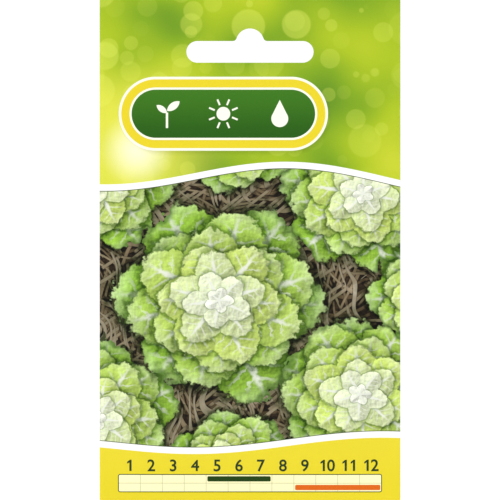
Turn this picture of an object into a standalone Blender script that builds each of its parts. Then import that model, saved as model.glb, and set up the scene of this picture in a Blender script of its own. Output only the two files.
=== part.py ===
"""A seed packet that hangs on a display peg.

One printed paper sheet is folded round into a flat envelope, with a side seam and a bottom flap on its back
and a peg slot through its header. A foil sachet stands in the envelope, and a heap of seeds lies in the sachet.

X runs across the packet, the printed front faces -Y, and Z is up. The origin is the point where a peg carries
the packet: the top of the slot's hump, at mid thickness.
"""

import math
import random

import bmesh
import bpy
from mathutils import Euler, Matrix, Vector

# The closed packet
PACKET_WIDTH = 0.096
PACKET_HEIGHT = 0.160
PAPER = 0.00016
LAYER_PITCH = 0.0003  # from one folded layer of paper to the next, middle to middle
SEALED_HEADER = 0.0265  # depth of the glued strip along the top edge
SIDE_FLAP = 0.012
BOTTOM_FLAP_ROWS = 3  # the bottom flap's height, in rows of the sheet
BOTTOM_FLAP_TAPER = 0.004  # how much the flap's end is narrower on each side
BACK_EDGE_GAP = 0.002  # from the back panel's free edge to the left fold

# The peg slot: a bar with round ends and a round hump over its middle
SLOT_DROP = 0.0093  # from the packet's top edge to the hump's top
SLOT_WIDTH = 0.0406
SLOT_HUMP_RADIUS = 0.0045
SLOT_BAR_TOP = -0.0040
SLOT_BAR_BOTTOM = -0.0109
SLOT_FILLET = 0.0013
SLOT_CUTTER_REACH = 0.004  # how far the slot's cutter stands out of the sheet on each side
SLOT_WELD = 0.000001  # how near the cutter's loose caps lie to its sides

# How far the filled panels stand out over the seeds, and how far from an edge they reach that depth
FRONT_BULGE = 0.0017
BACK_BULGE = 0.0015
SIDE_RAMP = 0.024
HEADER_RAMP = 0.077
BOTTOM_RAMP = 0.014

# The foil sachet inside
SACHET_WIDTH = 0.070
SACHET_HEIGHT = 0.104
SACHET_LIFT = 0.006  # from the packet's bottom edge to the sachet's
SACHET_SEAL = 0.007
FOIL = 0.00012
FOIL_SEAM_GAP = 0.0001
POCKET_RAMP = 0.009
POCKET_TOP_RAMP = 0.047
POCKET_FRONT = 0.00125
POCKET_BACK = 0.0011

# The seeds
SEED_LENGTH = 0.0026
SEED_WIDTH = 0.0012
SEED_CROWN = 0.45  # the narrow end's width, as a share of the wide end's
SEED_FLATNESS = 0.7
SEED_SIDES = 5
SEED_PITCH = 0.0024
SEED_JITTER = 0.15  # how far a seed strays from its place in the rows, in pitches
SEED_DEPTH = 0.00034  # from the heap's middle plane to the middle of a seed
SEED_TILT = math.radians(6)
HEAP_WIDTH = 0.044
HEAP_HEIGHT = 0.026
HEAP_CORE = 0.0005
HEAP_CORE_SHARE = 0.86  # the body's width and height, as a share of the heap's
HEAP_CORE_MARGIN = 0.01  # how far inside the body's rim the outermost seeds stand, as such a share
HEAP_CORE_SIDES = 32
HEAP_LIFT = 0.0065  # from the sachet's bottom seal to the heap's lowest seed
SEED_ROOM = 0.00095  # half the depth that the pocket needs where a seed lies
SEED_DRAW = 7

TOP = SLOT_DROP
BOTTOM = TOP - PACKET_HEIGHT
HALF_WIDTH = PACKET_WIDTH / 2
SACHET_BOTTOM = BOTTOM + SACHET_LIFT
SACHET_TOP = SACHET_BOTTOM + SACHET_HEIGHT

# The folded layers of the sheet, by the place of their middle in depth
FRONT_LAYER = -LAYER_PITCH / 2
BACK_LAYER = LAYER_PITCH / 2
SIDE_FLAP_LAYER = BACK_LAYER + LAYER_PITCH
BOTTOM_FLAP_LAYER = SIDE_FLAP_LAYER + LAYER_PITCH
BOTTOM_FOLD_RADIUS = (BOTTOM_FLAP_LAYER - FRONT_LAYER) / 2

# Which way a stretch of the sheet or a web of the sachet bulges
FRONT = -1
FOLD = 0
BACK = 1

# How finely the shapes are divided
FRONT_COLUMNS = 18
FLAP_COLUMNS = 3
BODY_ROWS = 26
FOLD_STEPS = 4
HUMP_STEPS = 16
FILLET_STEPS = 4
SLOT_END_STEPS = 12
RAMP_STEPS = 4
TOP_RAMP_STEPS = 10
POCKET_COLUMNS = 6
POCKET_ROWS = 5
SHARP_EDGE = math.radians(35)

PAPER_LOOK = {"colour": (0.62, 0.72, 0.16, 1.0), "roughness": 0.45, "metallic": 0.0}
FOIL_LOOK = {"colour": (0.80, 0.80, 0.79, 1.0), "roughness": 0.30, "metallic": 1.0}
SEED_LOOK = {"colour": (0.48, 0.37, 0.24, 1.0), "roughness": 0.80, "metallic": 0.0}


def ease(share):
    """0 to 1 with level ends, for a share that runs from 0 to 1."""
    share = min(1.0, max(0.0, share))
    return share * share * (3 - 2 * share)


def fullness(x, z):
    """How full the envelope is at a place: 0 along its edges and 1 over the seeds."""
    across = ease((HALF_WIDTH - abs(x)) / SIDE_RAMP)
    below_header = ease((TOP - SEALED_HEADER - z) / HEADER_RAMP)
    above_bottom = ease((z - BOTTOM) / BOTTOM_RAMP)
    return across * below_header * above_bottom


def pocket_fullness(x, z):
    """How full the sachet is at a place: 0 on its sealed rim and 1 over the seeds."""
    across = ease((SACHET_WIDTH / 2 - SACHET_SEAL - abs(x)) / POCKET_RAMP)
    below_top = ease((SACHET_TOP - SACHET_SEAL - z) / POCKET_TOP_RAMP)
    above_bottom = ease((z - SACHET_BOTTOM - SACHET_SEAL) / POCKET_RAMP)
    return across * below_top * above_bottom


def spaced(first, last, count):
    """count + 1 values from first to last, evenly spaced."""
    return [first + (last - first) * i / count for i in range(count + 1)]


def make_material(name, look):
    """A Principled material with a colour, a roughness and a metallic value."""
    material = bpy.data.materials.new(name)
    material.use_nodes = True
    shader = material.node_tree.nodes["Principled BSDF"]
    shader.inputs["Base Color"].default_value = look["colour"]
    shader.inputs["Roughness"].default_value = look["roughness"]
    shader.inputs["Metallic"].default_value = look["metallic"]
    material.diffuse_color = look["colour"]
    return material


def make_object(name, mesh, collection, material=None):
    """An object for a mesh, in a collection, smooth where its faces nearly agree."""
    if material:
        mesh.materials.append(material)
    made = bpy.data.objects.new(name, mesh)
    collection.objects.link(made)
    mesh.shade_smooth()
    mesh.set_sharp_from_angle(angle=SHARP_EDGE)
    return made


def thicken(sheet, thickness):
    """Gives an open surface its thickness, half on each side."""
    solidify = sheet.modifiers.new("thickness", "SOLIDIFY")
    solidify.thickness = thickness
    solidify.offset = 0.0
    solidify.use_even_offset = True


def wrapped_columns():
    """The folded sheet's columns in order round the packet, each (x, y, side).

    They run from the side flap's edge, round the left fold, across the front, round the right fold, to the back
    panel's free edge. side is FRONT, FOLD or BACK.
    """
    left_radius = (SIDE_FLAP_LAYER - FRONT_LAYER) / 2
    right_radius = (BACK_LAYER - FRONT_LAYER) / 2
    left_centre = -HALF_WIDTH + PAPER / 2 + left_radius
    right_centre = HALF_WIDTH - PAPER / 2 - right_radius
    lines = spaced(left_centre, right_centre, FRONT_COLUMNS)
    flap_edge = -HALF_WIDTH + SIDE_FLAP
    columns = [(x, SIDE_FLAP_LAYER, BACK) for x in spaced(flap_edge, left_centre, FLAP_COLUMNS)]
    for turn in spaced(math.pi / 2, 3 * math.pi / 2, FOLD_STEPS)[1:-1]:
        x = left_centre + left_radius * math.cos(turn)
        columns.append((x, FRONT_LAYER + left_radius * (1 + math.sin(turn)), FOLD))
    columns += [(x, FRONT_LAYER, FRONT) for x in lines]
    for turn in spaced(-math.pi / 2, math.pi / 2, FOLD_STEPS)[1:-1]:
        x = right_centre + right_radius * math.cos(turn)
        columns.append((x, right_radius * math.sin(turn), FOLD))
    back_edge = -HALF_WIDTH + BACK_EDGE_GAP
    columns += [(x, BACK_LAYER, BACK) for x in reversed(lines) if x > back_edge + PAPER]
    columns.append((back_edge, BACK_LAYER, BACK))
    return columns


def bulged(x, y, z, side):
    """A point of the sheet, moved out by the envelope's filling."""
    depth = {FRONT: -FRONT_BULGE, FOLD: 0.0, BACK: BACK_BULGE}[side]
    return Vector((x, y + depth * fullness(x, z), z))


def add_grid(bm, rows):
    """Quads between rows of vertices, which all have the same length."""
    for low, high in zip(rows, rows[1:]):
        for i in range(len(low) - 1):
            bm.faces.new((low[i], low[i + 1], high[i + 1], high[i]))


def fold_bottom_flap(bm, edge, levels):
    """Folds the front's bottom edge round behind the back panel, and up it as a flap with slanted ends.

    edge is the front's lowest row of vertices. levels are the heights of the flap's rows, the fold's centre first.
    """
    rows = [edge]
    for turn in spaced(0.0, math.pi, FOLD_STEPS)[1:-1]:
        y = FRONT_LAYER + BOTTOM_FOLD_RADIUS * (1 - math.cos(turn))
        z = levels[0] - BOTTOM_FOLD_RADIUS * math.sin(turn)
        rows.append([bm.verts.new((v.co.x, y, z)) for v in edge])
    reaches = spaced(HALF_WIDTH, HALF_WIDTH - BOTTOM_FLAP_TAPER, len(levels) - 1)
    for z, reach in zip(levels, reaches):
        widths = [max(-reach, min(reach, v.co.x)) for v in edge]
        rows.append([bm.verts.new(bulged(x, BOTTOM_FLAP_LAYER, z, BACK)) for x in widths])
    add_grid(bm, rows[::-1])


def make_envelope(collection, cutters):
    """The printed paper sheet, folded round and with the peg slot cut through both its panels."""
    bm = bmesh.new()
    columns = wrapped_columns()
    fold_height = BOTTOM + PAPER / 2 + BOTTOM_FOLD_RADIUS
    levels = spaced(fold_height, TOP - SEALED_HEADER, BODY_ROWS) + [TOP]
    rows = [[bm.verts.new(bulged(x, y, z, side)) for x, y, side in columns] for z in levels]
    add_grid(bm, rows)
    front_edge = [vertex for vertex, (_, _, side) in zip(rows[0], columns) if side == FRONT]
    fold_bottom_flap(bm, front_edge, levels[: BOTTOM_FLAP_ROWS + 1])
    mesh = bpy.data.meshes.new("envelope")
    bm.to_mesh(mesh)
    bm.free()
    envelope = make_object("envelope", mesh, collection, make_material("printed_paper", PAPER_LOOK))
    thicken(envelope, PAPER)
    slot = envelope.modifiers.new("peg_slot", "BOOLEAN")
    slot.operation = "DIFFERENCE"
    slot.object = make_slot_cutter(cutters)
    return envelope


def arc(centre_x, centre_z, radius, first, last, steps):
    """Points of an arc between two angles in degrees."""
    return [
        (centre_x + radius * math.cos(a), centre_z + radius * math.sin(a))
        for a in spaced(math.radians(first), math.radians(last), steps)
    ]


def slot_outline():
    """The peg slot's outline, anticlockwise from the foot of the hump's right side."""
    hump_centre = -SLOT_HUMP_RADIUS
    fillet_height = SLOT_BAR_TOP + SLOT_FILLET
    reach = SLOT_HUMP_RADIUS + SLOT_FILLET
    fillet_x = math.sqrt(reach**2 - (fillet_height - hump_centre) ** 2)
    foot = math.degrees(math.atan2(fillet_height - hump_centre, fillet_x))
    end_radius = (SLOT_BAR_TOP - SLOT_BAR_BOTTOM) / 2
    end_height = (SLOT_BAR_TOP + SLOT_BAR_BOTTOM) / 2
    end_x = SLOT_WIDTH / 2 - end_radius
    return (
        arc(0, hump_centre, SLOT_HUMP_RADIUS, foot, 180 - foot, HUMP_STEPS)
        + arc(-fillet_x, fillet_height, SLOT_FILLET, -foot, -90, FILLET_STEPS)[1:]
        + arc(-end_x, end_height, end_radius, 90, 270, SLOT_END_STEPS)
        + arc(end_x, end_height, end_radius, -90, 90, SLOT_END_STEPS)
        + arc(fillet_x, fillet_height, SLOT_FILLET, -90, -180 + foot, FILLET_STEPS)[:-1]
    )


def make_slot_cutter(cutters):
    """A prism of the slot's outline that passes through the whole header."""
    curve = bpy.data.curves.new("slot_cutter", "CURVE")
    curve.dimensions = "2D"
    curve.fill_mode = "BOTH"
    curve.extrude = SLOT_CUTTER_REACH
    outline = slot_outline()
    spline = curve.splines.new("POLY")
    spline.points.add(len(outline) - 1)
    for point, (x, z) in zip(spline.points, outline):
        point.co = (x, z, 0, 1)
    spline.use_cyclic_u = True
    flat = bpy.data.objects.new("slot_outline", curve)
    flat.rotation_euler = Euler((math.pi / 2, 0, 0))
    cutters.objects.link(flat)
    bpy.context.view_layer.update()
    graph = bpy.context.evaluated_depsgraph_get()
    mesh = bpy.data.meshes.new_from_object(flat.evaluated_get(graph))
    bm = bmesh.new()
    bm.from_mesh(mesh)
    bmesh.ops.remove_doubles(bm, verts=bm.verts, dist=SLOT_WELD)
    bmesh.ops.recalc_face_normals(bm, faces=bm.faces)
    bm.to_mesh(mesh)
    bm.free()
    cutter = bpy.data.objects.new("slot_cutter", mesh)
    cutter.matrix_world = flat.matrix_world
    cutters.objects.link(cutter)
    bpy.data.objects.remove(flat)
    cutter.hide_render = True
    cutter.display_type = "WIRE"
    return cutter


def pocket_lines(first, last, last_ramp, middle_steps, last_steps):
    """Grid lines across the sachet: its sealed rim, the pocket's first ramp, its level middle and last ramp."""
    foot, head = first + SACHET_SEAL, last - SACHET_SEAL
    rise = spaced(foot, foot + POCKET_RAMP, RAMP_STEPS)
    middle = spaced(foot + POCKET_RAMP, head - last_ramp, middle_steps)
    fall = spaced(head - last_ramp, head, last_steps)
    return [first, *rise, *middle[1:-1], *fall, last]


def make_foil(name, side, depth, collection, material):
    """One web of the sachet: flat on the sealed rim, and standing out over the pocket."""
    lines = pocket_lines(-SACHET_WIDTH / 2, SACHET_WIDTH / 2, POCKET_RAMP, POCKET_COLUMNS, RAMP_STEPS)
    levels = pocket_lines(SACHET_BOTTOM, SACHET_TOP, POCKET_TOP_RAMP, POCKET_ROWS, TOP_RAMP_STEPS)
    offset = side * (FOIL_SEAM_GAP + FOIL) / 2
    bm = bmesh.new()
    rows = [
        [bm.verts.new((x, offset + side * depth * pocket_fullness(x, z), z)) for x in lines]
        for z in levels
    ]
    add_grid(bm, rows)
    if side == BACK:
        bmesh.ops.reverse_faces(bm, faces=bm.faces)
    mesh = bpy.data.meshes.new(name)
    bm.to_mesh(mesh)
    bm.free()
    foil = make_object(name, mesh, collection, material)
    thicken(foil, FOIL)
    return foil


def seed_mesh():
    """One seed: a flat-sided wedge with a blunt crown, along its own Z."""
    bm = bmesh.new()
    bmesh.ops.create_cone(
        bm,
        cap_ends=True,
        segments=SEED_SIDES,
        radius1=SEED_WIDTH / 2 * SEED_CROWN,
        radius2=SEED_WIDTH / 2,
        depth=SEED_LENGTH,
    )
    bmesh.ops.scale(bm, vec=(1.0, SEED_FLATNESS, 1.0), verts=bm.verts)
    mesh = bpy.data.meshes.new("seed")
    bm.to_mesh(mesh)
    bm.free()
    return mesh


def heap_core(heap_centre):
    """The flat oval body that the heap's outer seeds stand out of."""
    bm = bmesh.new()
    bmesh.ops.create_cone(
        bm,
        cap_ends=True,
        segments=HEAP_CORE_SIDES,
        radius1=0.5,
        radius2=0.5,
        depth=HEAP_CORE,
        matrix=Matrix.Rotation(math.pi / 2, 4, "X"),
    )
    reach = Vector((HEAP_WIDTH, 0.0, HEAP_HEIGHT)) * HEAP_CORE_SHARE
    bmesh.ops.scale(bm, vec=(reach.x, 1.0, reach.z), verts=bm.verts)
    bmesh.ops.translate(bm, vec=heap_centre, verts=bm.verts)
    mesh = bpy.data.meshes.new("seeds")
    bm.to_mesh(mesh)
    bm.free()
    return mesh


def seed_places(heap_centre, draw):
    """Where the heap's outer seeds lie, in shifted rows on its front and back, as matrices."""
    row_pitch = SEED_PITCH * math.sqrt(3) / 2
    rows = round(HEAP_HEIGHT / row_pitch)
    across = round(HEAP_WIDTH / SEED_PITCH)
    for side in (FRONT, BACK):
        for i in range(rows):
            for j in range(across):
                x = (j - (across - 1) / 2 + 0.5 * (i % 2)) * SEED_PITCH
                z = (i - (rows - 1) / 2) * row_pitch
                x += draw.uniform(-SEED_JITTER, SEED_JITTER) * SEED_PITCH
                z += draw.uniform(-SEED_JITTER, SEED_JITTER) * SEED_PITCH
                turn = Euler((draw.uniform(-1, 1) * SEED_TILT, draw.uniform(0, math.tau), 0.0))
                reach = math.hypot(x / HEAP_WIDTH, z / HEAP_HEIGHT)
                depth = POCKET_FRONT if side == FRONT else POCKET_BACK
                room = depth * pocket_fullness(heap_centre.x + x, heap_centre.z + z)
                if reach < HEAP_CORE_SHARE / 2 - HEAP_CORE_MARGIN and room > SEED_ROOM:
                    place = heap_centre + Vector((x, side * SEED_DEPTH, z))
                    yield Matrix.Translation(place) @ turn.to_matrix().to_4x4()


def make_seeds(collection):
    """The heap of seeds: outer seeds at true size, joined to the heap's body."""
    draw = random.Random(SEED_DRAW)
    lift = SACHET_BOTTOM + SACHET_SEAL + HEAP_LIFT
    heap_centre = Vector((0.0, 0.0, lift + HEAP_HEIGHT / 2))
    heap = make_object("seeds", heap_core(heap_centre), collection, make_material("seed_husk", SEED_LOOK))
    loose = bpy.data.collections.new("loose_seeds")
    bpy.context.scene.collection.children.link(loose)
    shape = seed_mesh()
    for place in seed_places(heap_centre, draw):
        seed = bpy.data.objects.new("loose_seed", shape)
        seed.matrix_world = place
        loose.objects.link(seed)
    join = heap.modifiers.new("join_seeds", "BOOLEAN")
    join.operation = "UNION"
    join.operand_type = "COLLECTION"
    join.collection = loose
    bpy.context.view_layer.objects.active = heap
    bpy.context.view_layer.update()
    with bpy.context.temp_override(object=heap, active_object=heap):
        bpy.ops.object.modifier_apply(modifier=join.name)
    for seed in list(loose.objects):
        bpy.data.objects.remove(seed)
    bpy.data.collections.remove(loose)
    return heap


def main():
    """Builds the packet in a collection of its own, and its cutter in another."""
    for old in list(bpy.data.objects):
        bpy.data.objects.remove(old)
    packet = bpy.data.collections.new("seed_packet")
    cutters = bpy.data.collections.new("cutters")
    for collection in (packet, cutters):
        bpy.context.scene.collection.children.link(collection)
    make_envelope(packet, cutters)
    foil = make_material("sachet_foil", FOIL_LOOK)
    make_foil("sachet_front_foil", FRONT, POCKET_FRONT, packet, foil)
    make_foil("sachet_back_foil", BACK, POCKET_BACK, packet, foil)
    make_seeds(packet)


main()
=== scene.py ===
"""The looks of a hanging seed packet: its printed paper, the foil sachet in it and the seeds.

Everything is in metres in the packet's own frame: +X to the right of the printed front, which faces -Y,
and +Z up. The origin is where a peg carries the packet. Prints are laid out in millimetres, across from
the packet's middle line and up from its bottom edge.
"""

import logging
import math
import random
from collections.abc import Iterator
from dataclasses import dataclass
from enum import Enum, IntEnum

import bmesh
import bpy
from mathutils import Euler, Matrix, Vector, noise


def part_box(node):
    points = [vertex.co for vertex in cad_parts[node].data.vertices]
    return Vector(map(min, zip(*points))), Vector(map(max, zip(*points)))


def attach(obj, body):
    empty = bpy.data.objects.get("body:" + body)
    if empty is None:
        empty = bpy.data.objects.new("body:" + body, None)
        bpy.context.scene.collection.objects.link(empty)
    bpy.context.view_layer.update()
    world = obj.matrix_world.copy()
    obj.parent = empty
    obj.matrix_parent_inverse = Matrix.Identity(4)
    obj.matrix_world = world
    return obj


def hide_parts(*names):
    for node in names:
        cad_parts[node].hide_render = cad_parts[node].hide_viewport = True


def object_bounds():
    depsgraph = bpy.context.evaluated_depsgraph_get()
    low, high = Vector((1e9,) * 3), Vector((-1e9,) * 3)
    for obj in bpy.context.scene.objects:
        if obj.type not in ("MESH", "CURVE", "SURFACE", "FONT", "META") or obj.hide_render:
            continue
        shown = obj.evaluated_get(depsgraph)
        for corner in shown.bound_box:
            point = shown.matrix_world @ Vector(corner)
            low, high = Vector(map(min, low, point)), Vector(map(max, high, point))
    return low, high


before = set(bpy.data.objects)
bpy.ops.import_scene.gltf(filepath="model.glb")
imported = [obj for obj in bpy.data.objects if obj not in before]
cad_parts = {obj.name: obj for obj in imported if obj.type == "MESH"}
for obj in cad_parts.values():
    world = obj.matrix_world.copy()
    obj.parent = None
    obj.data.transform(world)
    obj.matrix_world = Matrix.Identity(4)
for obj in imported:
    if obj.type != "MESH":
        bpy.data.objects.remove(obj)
cad_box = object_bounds()

LOG = logging.getLogger("seed_packet")
MM = 0.001


def srgb(red: int, green: int, blue: int) -> tuple[float, float, float, float]:
    """A colour as it looks on a screen, 0 to 255, as the linear one that shaders take.

    Args:
        red: The red part.
        green: The green part.
        blue: The blue part.

    Returns:
        Linear red, green, blue and a full alpha.
    """

    def linear(part: int) -> float:
        """One part, by the sRGB formula."""
        share = part / 255
        return share / 12.92 if share <= 0.04045 else ((share + 0.055) / 1.055) ** 2.4

    return (linear(red), linear(green), linear(blue), 1.0)


def between(first: tuple, second: tuple, share: float) -> tuple:
    """The colour that lies a share of the way from the first to the second."""
    return tuple(a + (b - a) * share for a, b in zip(first, second))


def spaced(first: float, last: float, count: int) -> list[float]:
    """count + 1 values from first to last, evenly spaced."""
    return [first + (last - first) * i / count for i in range(count + 1)]


def ease(share: float) -> float:
    """0 to 1 with level ends, for a share that runs from 0 to 1."""
    share = min(1.0, max(0.0, share))
    return share * share * (3 - 2 * share)


@dataclass(frozen=True)
class Relief:
    """Smooth random ups and downs of a sheet."""

    depth: float  # how far they reach, in metres
    across: float  # how many there are to a metre across the sheet
    upward: float  # and up it
    layer: float  # the slice of the noise that they are read from, so that no two reliefs agree

    def at(self, x: float, z: float, side: int = 1) -> float:
        """How far the sheet stands out at a place. A side of -1 gives other ups and downs than 1."""
        return self.depth * noise.noise(Vector((x * self.across, self.layer * side, z * self.upward)))


SHARED_WARP = Relief(0.12 * MM, 22, 17, 3.1)  # the slow warp that all layers of the packet share
FOOT_YELLOW = srgb(232, 213, 44)  # the same on all faces of the packet


class Blend(Enum):
    """The ways that one colour is laid over another."""

    COVER = "MIX"
    DARKEN = "MULTIPLY"


class MixKind(Enum):
    """What a Mix node mixes, with the numbers of its two inputs and its output for that."""

    NUMBER = ("FLOAT", 2, 3, 0)
    VECTOR = ("VECTOR", 4, 5, 1)
    COLOUR = ("RGBA", 6, 7, 2)


class CellShape(Enum):
    """The shapes of random cells, by how the distance to their middles is measured."""

    ROUND = "EUCLIDEAN"
    SQUARE = "CHEBYCHEV"


class Wire:
    """A value that runs through a material's nodes, with Python's arithmetic on it."""

    def __init__(self, bench: "Bench", socket: bpy.types.NodeSocket) -> None:
        """Holds an output socket and the bench that its node lies on."""
        self.bench = bench
        self.socket = socket

    def math(self, operation: str, *others: "Wire | float") -> "Wire":
        """The outcome of a Math node's operation on this value and up to two others."""
        return self.bench.math(operation, self, *others)

    def __add__(self, other: "Wire | float") -> "Wire":
        """This value plus another."""
        return self.math("ADD", other)

    __radd__ = __add__

    def __sub__(self, other: "Wire | float") -> "Wire":
        """This value minus another."""
        return self.math("SUBTRACT", other)

    def __rsub__(self, other: float) -> "Wire":
        """A number minus this value."""
        return self.bench.math("SUBTRACT", other, self)

    def __mul__(self, other: "Wire | float") -> "Wire":
        """This value times another."""
        return self.math("MULTIPLY", other)

    __rmul__ = __mul__

    def __truediv__(self, other: "Wire | float") -> "Wire":
        """This value divided by another."""
        return self.math("DIVIDE", other)

    def __abs__(self) -> "Wire":
        """This value without its sign."""
        return self.math("ABSOLUTE")

    def __mod__(self, other: float) -> "Wire":
        """What is left of this value past whole multiples of another, never negative."""
        return self.math("FLOORED_MODULO", other)

    def floor(self) -> "Wire":
        """The whole number below this value."""
        return self.math("FLOOR")

    def sine(self) -> "Wire":
        """The sine of this value in radians."""
        return self.math("SINE")

    def at_least(self, other: "Wire | float") -> "Wire":
        """This value, or the other where that is larger."""
        return self.math("MAXIMUM", other)

    def at_most(self, other: "Wire | float") -> "Wire":
        """This value, or the other where that is smaller."""
        return self.math("MINIMUM", other)

    def _step(self, low: float, high: float, before: float, after: float) -> "Wire":
        """A soft step.

        Args:
            low: The value at which the step begins.
            high: The value at which it ends.
            before: How high it is before that.
            after: How high it is after it.

        Returns:
            A mask from before to after.
        """
        settings = {"interpolation_type": "SMOOTHSTEP"}
        inputs = {0: self, 1: low, 2: high, 3: before, 4: after}
        return self.bench.node("ShaderNodeMapRange", settings, inputs)

    def rise(self, low: float, high: float, top: float = 1.0) -> "Wire":
        """A soft step up, from 0 below the low value to top above the high one."""
        return self._step(low, high, 0.0, top)

    def fall(self, low: float, high: float, top: float = 1.0) -> "Wire":
        """A soft step down, from top below the low value to 0 above the high one."""
        return self._step(low, high, top, 0.0)

    def inside(self, half: float, soft: float = 0.12, top: float = 1.0) -> "Wire":
        """A mask of a band around 0, half as wide on each side, with a soft edge."""
        return abs(self).fall(half - soft / 2, half + soft / 2, top)

    def filled(self, soft: float = 0.05) -> "Wire":
        """A mask of where this value is above 0, with an edge that is soft over a distance each way."""
        return self.rise(-soft, soft)


Amount = Wire | float
Colour = Wire | tuple


class Bench:
    """Where the nodes of one material are laid out."""

    def __init__(self, name: str) -> None:
        """Starts a material with only its shader and output.

        Args:
            name: The material's name.
        """
        self.material = bpy.data.materials.new(name)
        self.material.use_nodes = True
        self.tree = self.material.node_tree
        self.shader = self.tree.nodes["Principled BSDF"]

    def node(self, kind: str, settings: dict, inputs: dict, output: int | str = 0) -> Wire:
        """Adds a node.

        Args:
            kind: The node's type.
            settings: Its properties, set first. stops gives a ramp's (place, colour) pairs.
            inputs: Values or wires for its sockets, by number or name.
            output: The output that the wire starts from.

        Returns:
            The wire from that output.
        """
        made = self.tree.nodes.new(kind)
        for name, value in settings.items():
            if name == "stops":
                self._set_stops(made.color_ramp, value)
            else:
                setattr(made, name, value)
        for name, value in inputs.items():
            if isinstance(value, Wire):
                self.tree.links.new(value.socket, made.inputs[name])
            else:
                made.inputs[name].default_value = value
        return Wire(self, made.outputs[output])

    @staticmethod
    def _set_stops(ramp: bpy.types.ColorRamp, stops: tuple) -> None:
        """Gives a colour ramp its stops.

        Args:
            ramp: The ramp.
            stops: Its (place, colour) pairs.
        """
        while len(ramp.elements) < len(stops):
            ramp.elements.new(1.0)
        for element, (place, colour) in zip(ramp.elements, stops):
            element.position = place
            element.color = colour

    def also(self, wire: Wire, output: int | str) -> Wire:
        """Another output of the node that a wire starts from."""
        return Wire(self, wire.socket.node.outputs[output])

    def math(self, operation: str, *values: Amount) -> Wire:
        """The outcome of a Math node."""
        return self.node("ShaderNodeMath", {"operation": operation}, dict(enumerate(values)))

    def vector_math(self, operation: str, inputs: dict, output: int = 0) -> Wire:
        """The outcome of a Vector Math node: output 0 is a vector and output 1 a number."""
        return self.node("ShaderNodeVectorMath", {"operation": operation}, inputs, output)

    def _mixed(
        self, kind: MixKind, factor: Amount, pair: tuple[Amount | tuple, Amount | tuple], way: Blend
    ) -> Wire:
        """Adds a Mix node.

        Args:
            kind: What it mixes.
            factor: How far it goes from the first of the pair to the second.
            pair: What is mixed.
            way: How the two are blended, where they are colours.

        Returns:
            The outcome.
        """
        data_type, first, second, output = kind.value
        settings = {"data_type": data_type, "blend_type": way.value}
        return self.node("ShaderNodeMix", settings, {0: factor, first: pair[0], second: pair[1]}, output)

    def mix(self, factor: Amount, under: Colour, over: Colour, way: Blend = Blend.COVER) -> Wire:
        """One colour laid over another, as strongly as the factor says."""
        return self._mixed(MixKind.COLOUR, factor, (under, over), way)

    def choose(self, factor: Wire, first: Amount, second: Amount) -> Wire:
        """A number that goes from the first to the second as the factor goes from 0 to 1."""
        return self._mixed(MixKind.NUMBER, factor, (first, second), Blend.COVER)

    def choose_vector(self, factor: Wire, first: Wire | tuple, second: Wire | tuple) -> Wire:
        """A vector that goes from the first to the second as the factor goes from 0 to 1."""
        return self._mixed(MixKind.VECTOR, factor, (first, second), Blend.COVER)

    def combine(self, x: Amount, y: Amount, z: Amount = 0.0) -> Wire:
        """A vector of three numbers."""
        return self.node("ShaderNodeCombineXYZ", {}, {0: x, 1: y, 2: z})

    def parts(self, vector: Wire) -> tuple[Wire, Wire, Wire]:
        """The three numbers of a vector."""
        first = self.node("ShaderNodeSeparateXYZ", {}, {0: vector})
        return first, self.also(first, 1), self.also(first, 2)

    def length(self, x: Wire, y: Wire) -> Wire:
        """The length of a flat vector."""
        return self.vector_math("LENGTH", {0: self.combine(x, y)}, 1)

    def plate(self, x: Wire, y: Wire, half_width: float, half_height: float, corner: float) -> Wire:
        """How far inside a rectangle with round corners a point lies, below 0 outside it.

        Args:
            x: How far the point lies to the right of the rectangle's middle.
            y: How far it lies above it.
            half_width: Half of the rectangle's width.
            half_height: Half of its height.
            corner: The radius of its corners.

        Returns:
            The distance to the nearest edge, at most the corners' radius.
        """
        aside = (abs(x) - (half_width - corner)).at_least(0.0)
        aloft = (abs(y) - (half_height - corner)).at_least(0.0)
        return corner - self.length(aside, aloft)

    def ramp(self, place: Wire, stops: tuple) -> Wire:
        """The colour that a ramp with these (place, colour) stops has at a place."""
        return self.node("ShaderNodeValToRGB", {"stops": stops}, {0: place})

    def place(self) -> Wire:
        """Where a point of the object lies, in metres."""
        return self.node("ShaderNodeTexCoord", {}, {}, "Object")

    def clouds(self, where: Wire, size: float, detail: float = 2.0, rough: float = 0.5) -> Wire:
        """Soft noise from 0 to 1.

        Args:
            where: The vector that it is read at.
            size: The size of its blots, in the vector's units.
            detail: How many finer layers it has.
            rough: How strong the finer layers are.

        Returns:
            The noise.
        """
        inputs = {"Vector": where, "Scale": 1 / size, "Detail": detail, "Roughness": rough}
        return self.node("ShaderNodeTexNoise", {}, inputs)

    def cells(self, where: Wire, size: float, shape: CellShape = CellShape.ROUND) -> tuple[Wire, Wire]:
        """Flat random cells.

        Args:
            where: The vector that they are read at.
            size: The cells' size, in the vector's units.
            shape: Their shape.

        Returns:
            The distance to the nearest cell's middle, in cell sizes, and a random number for each cell.
        """
        settings = {"voronoi_dimensions": "2D", "distance": shape.value}
        inputs = {"Vector": where, "Scale": 1 / size}
        distance = self.node("ShaderNodeTexVoronoi", settings, inputs, "Distance")
        return distance, self.parts(self.also(distance, "Color"))[0]

    def cell_room(self, where: Wire, size: float) -> Wire:
        """The radius of the largest disc that each flat round cell has room for, in cell sizes."""
        settings = {"voronoi_dimensions": "2D", "feature": "N_SPHERE_RADIUS"}
        return self.node("ShaderNodeTexVoronoi", settings, {"Vector": where, "Scale": 1 / size}, "Radius")

    def draw(self, where: Wire) -> tuple[Wire, Wire, Wire]:
        """Three random numbers from 0 to 1 that depend only on a vector."""
        settings = {"noise_dimensions": "3D"}
        return self.parts(self.node("ShaderNodeTexWhiteNoise", settings, {0: where}, "Color"))

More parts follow.
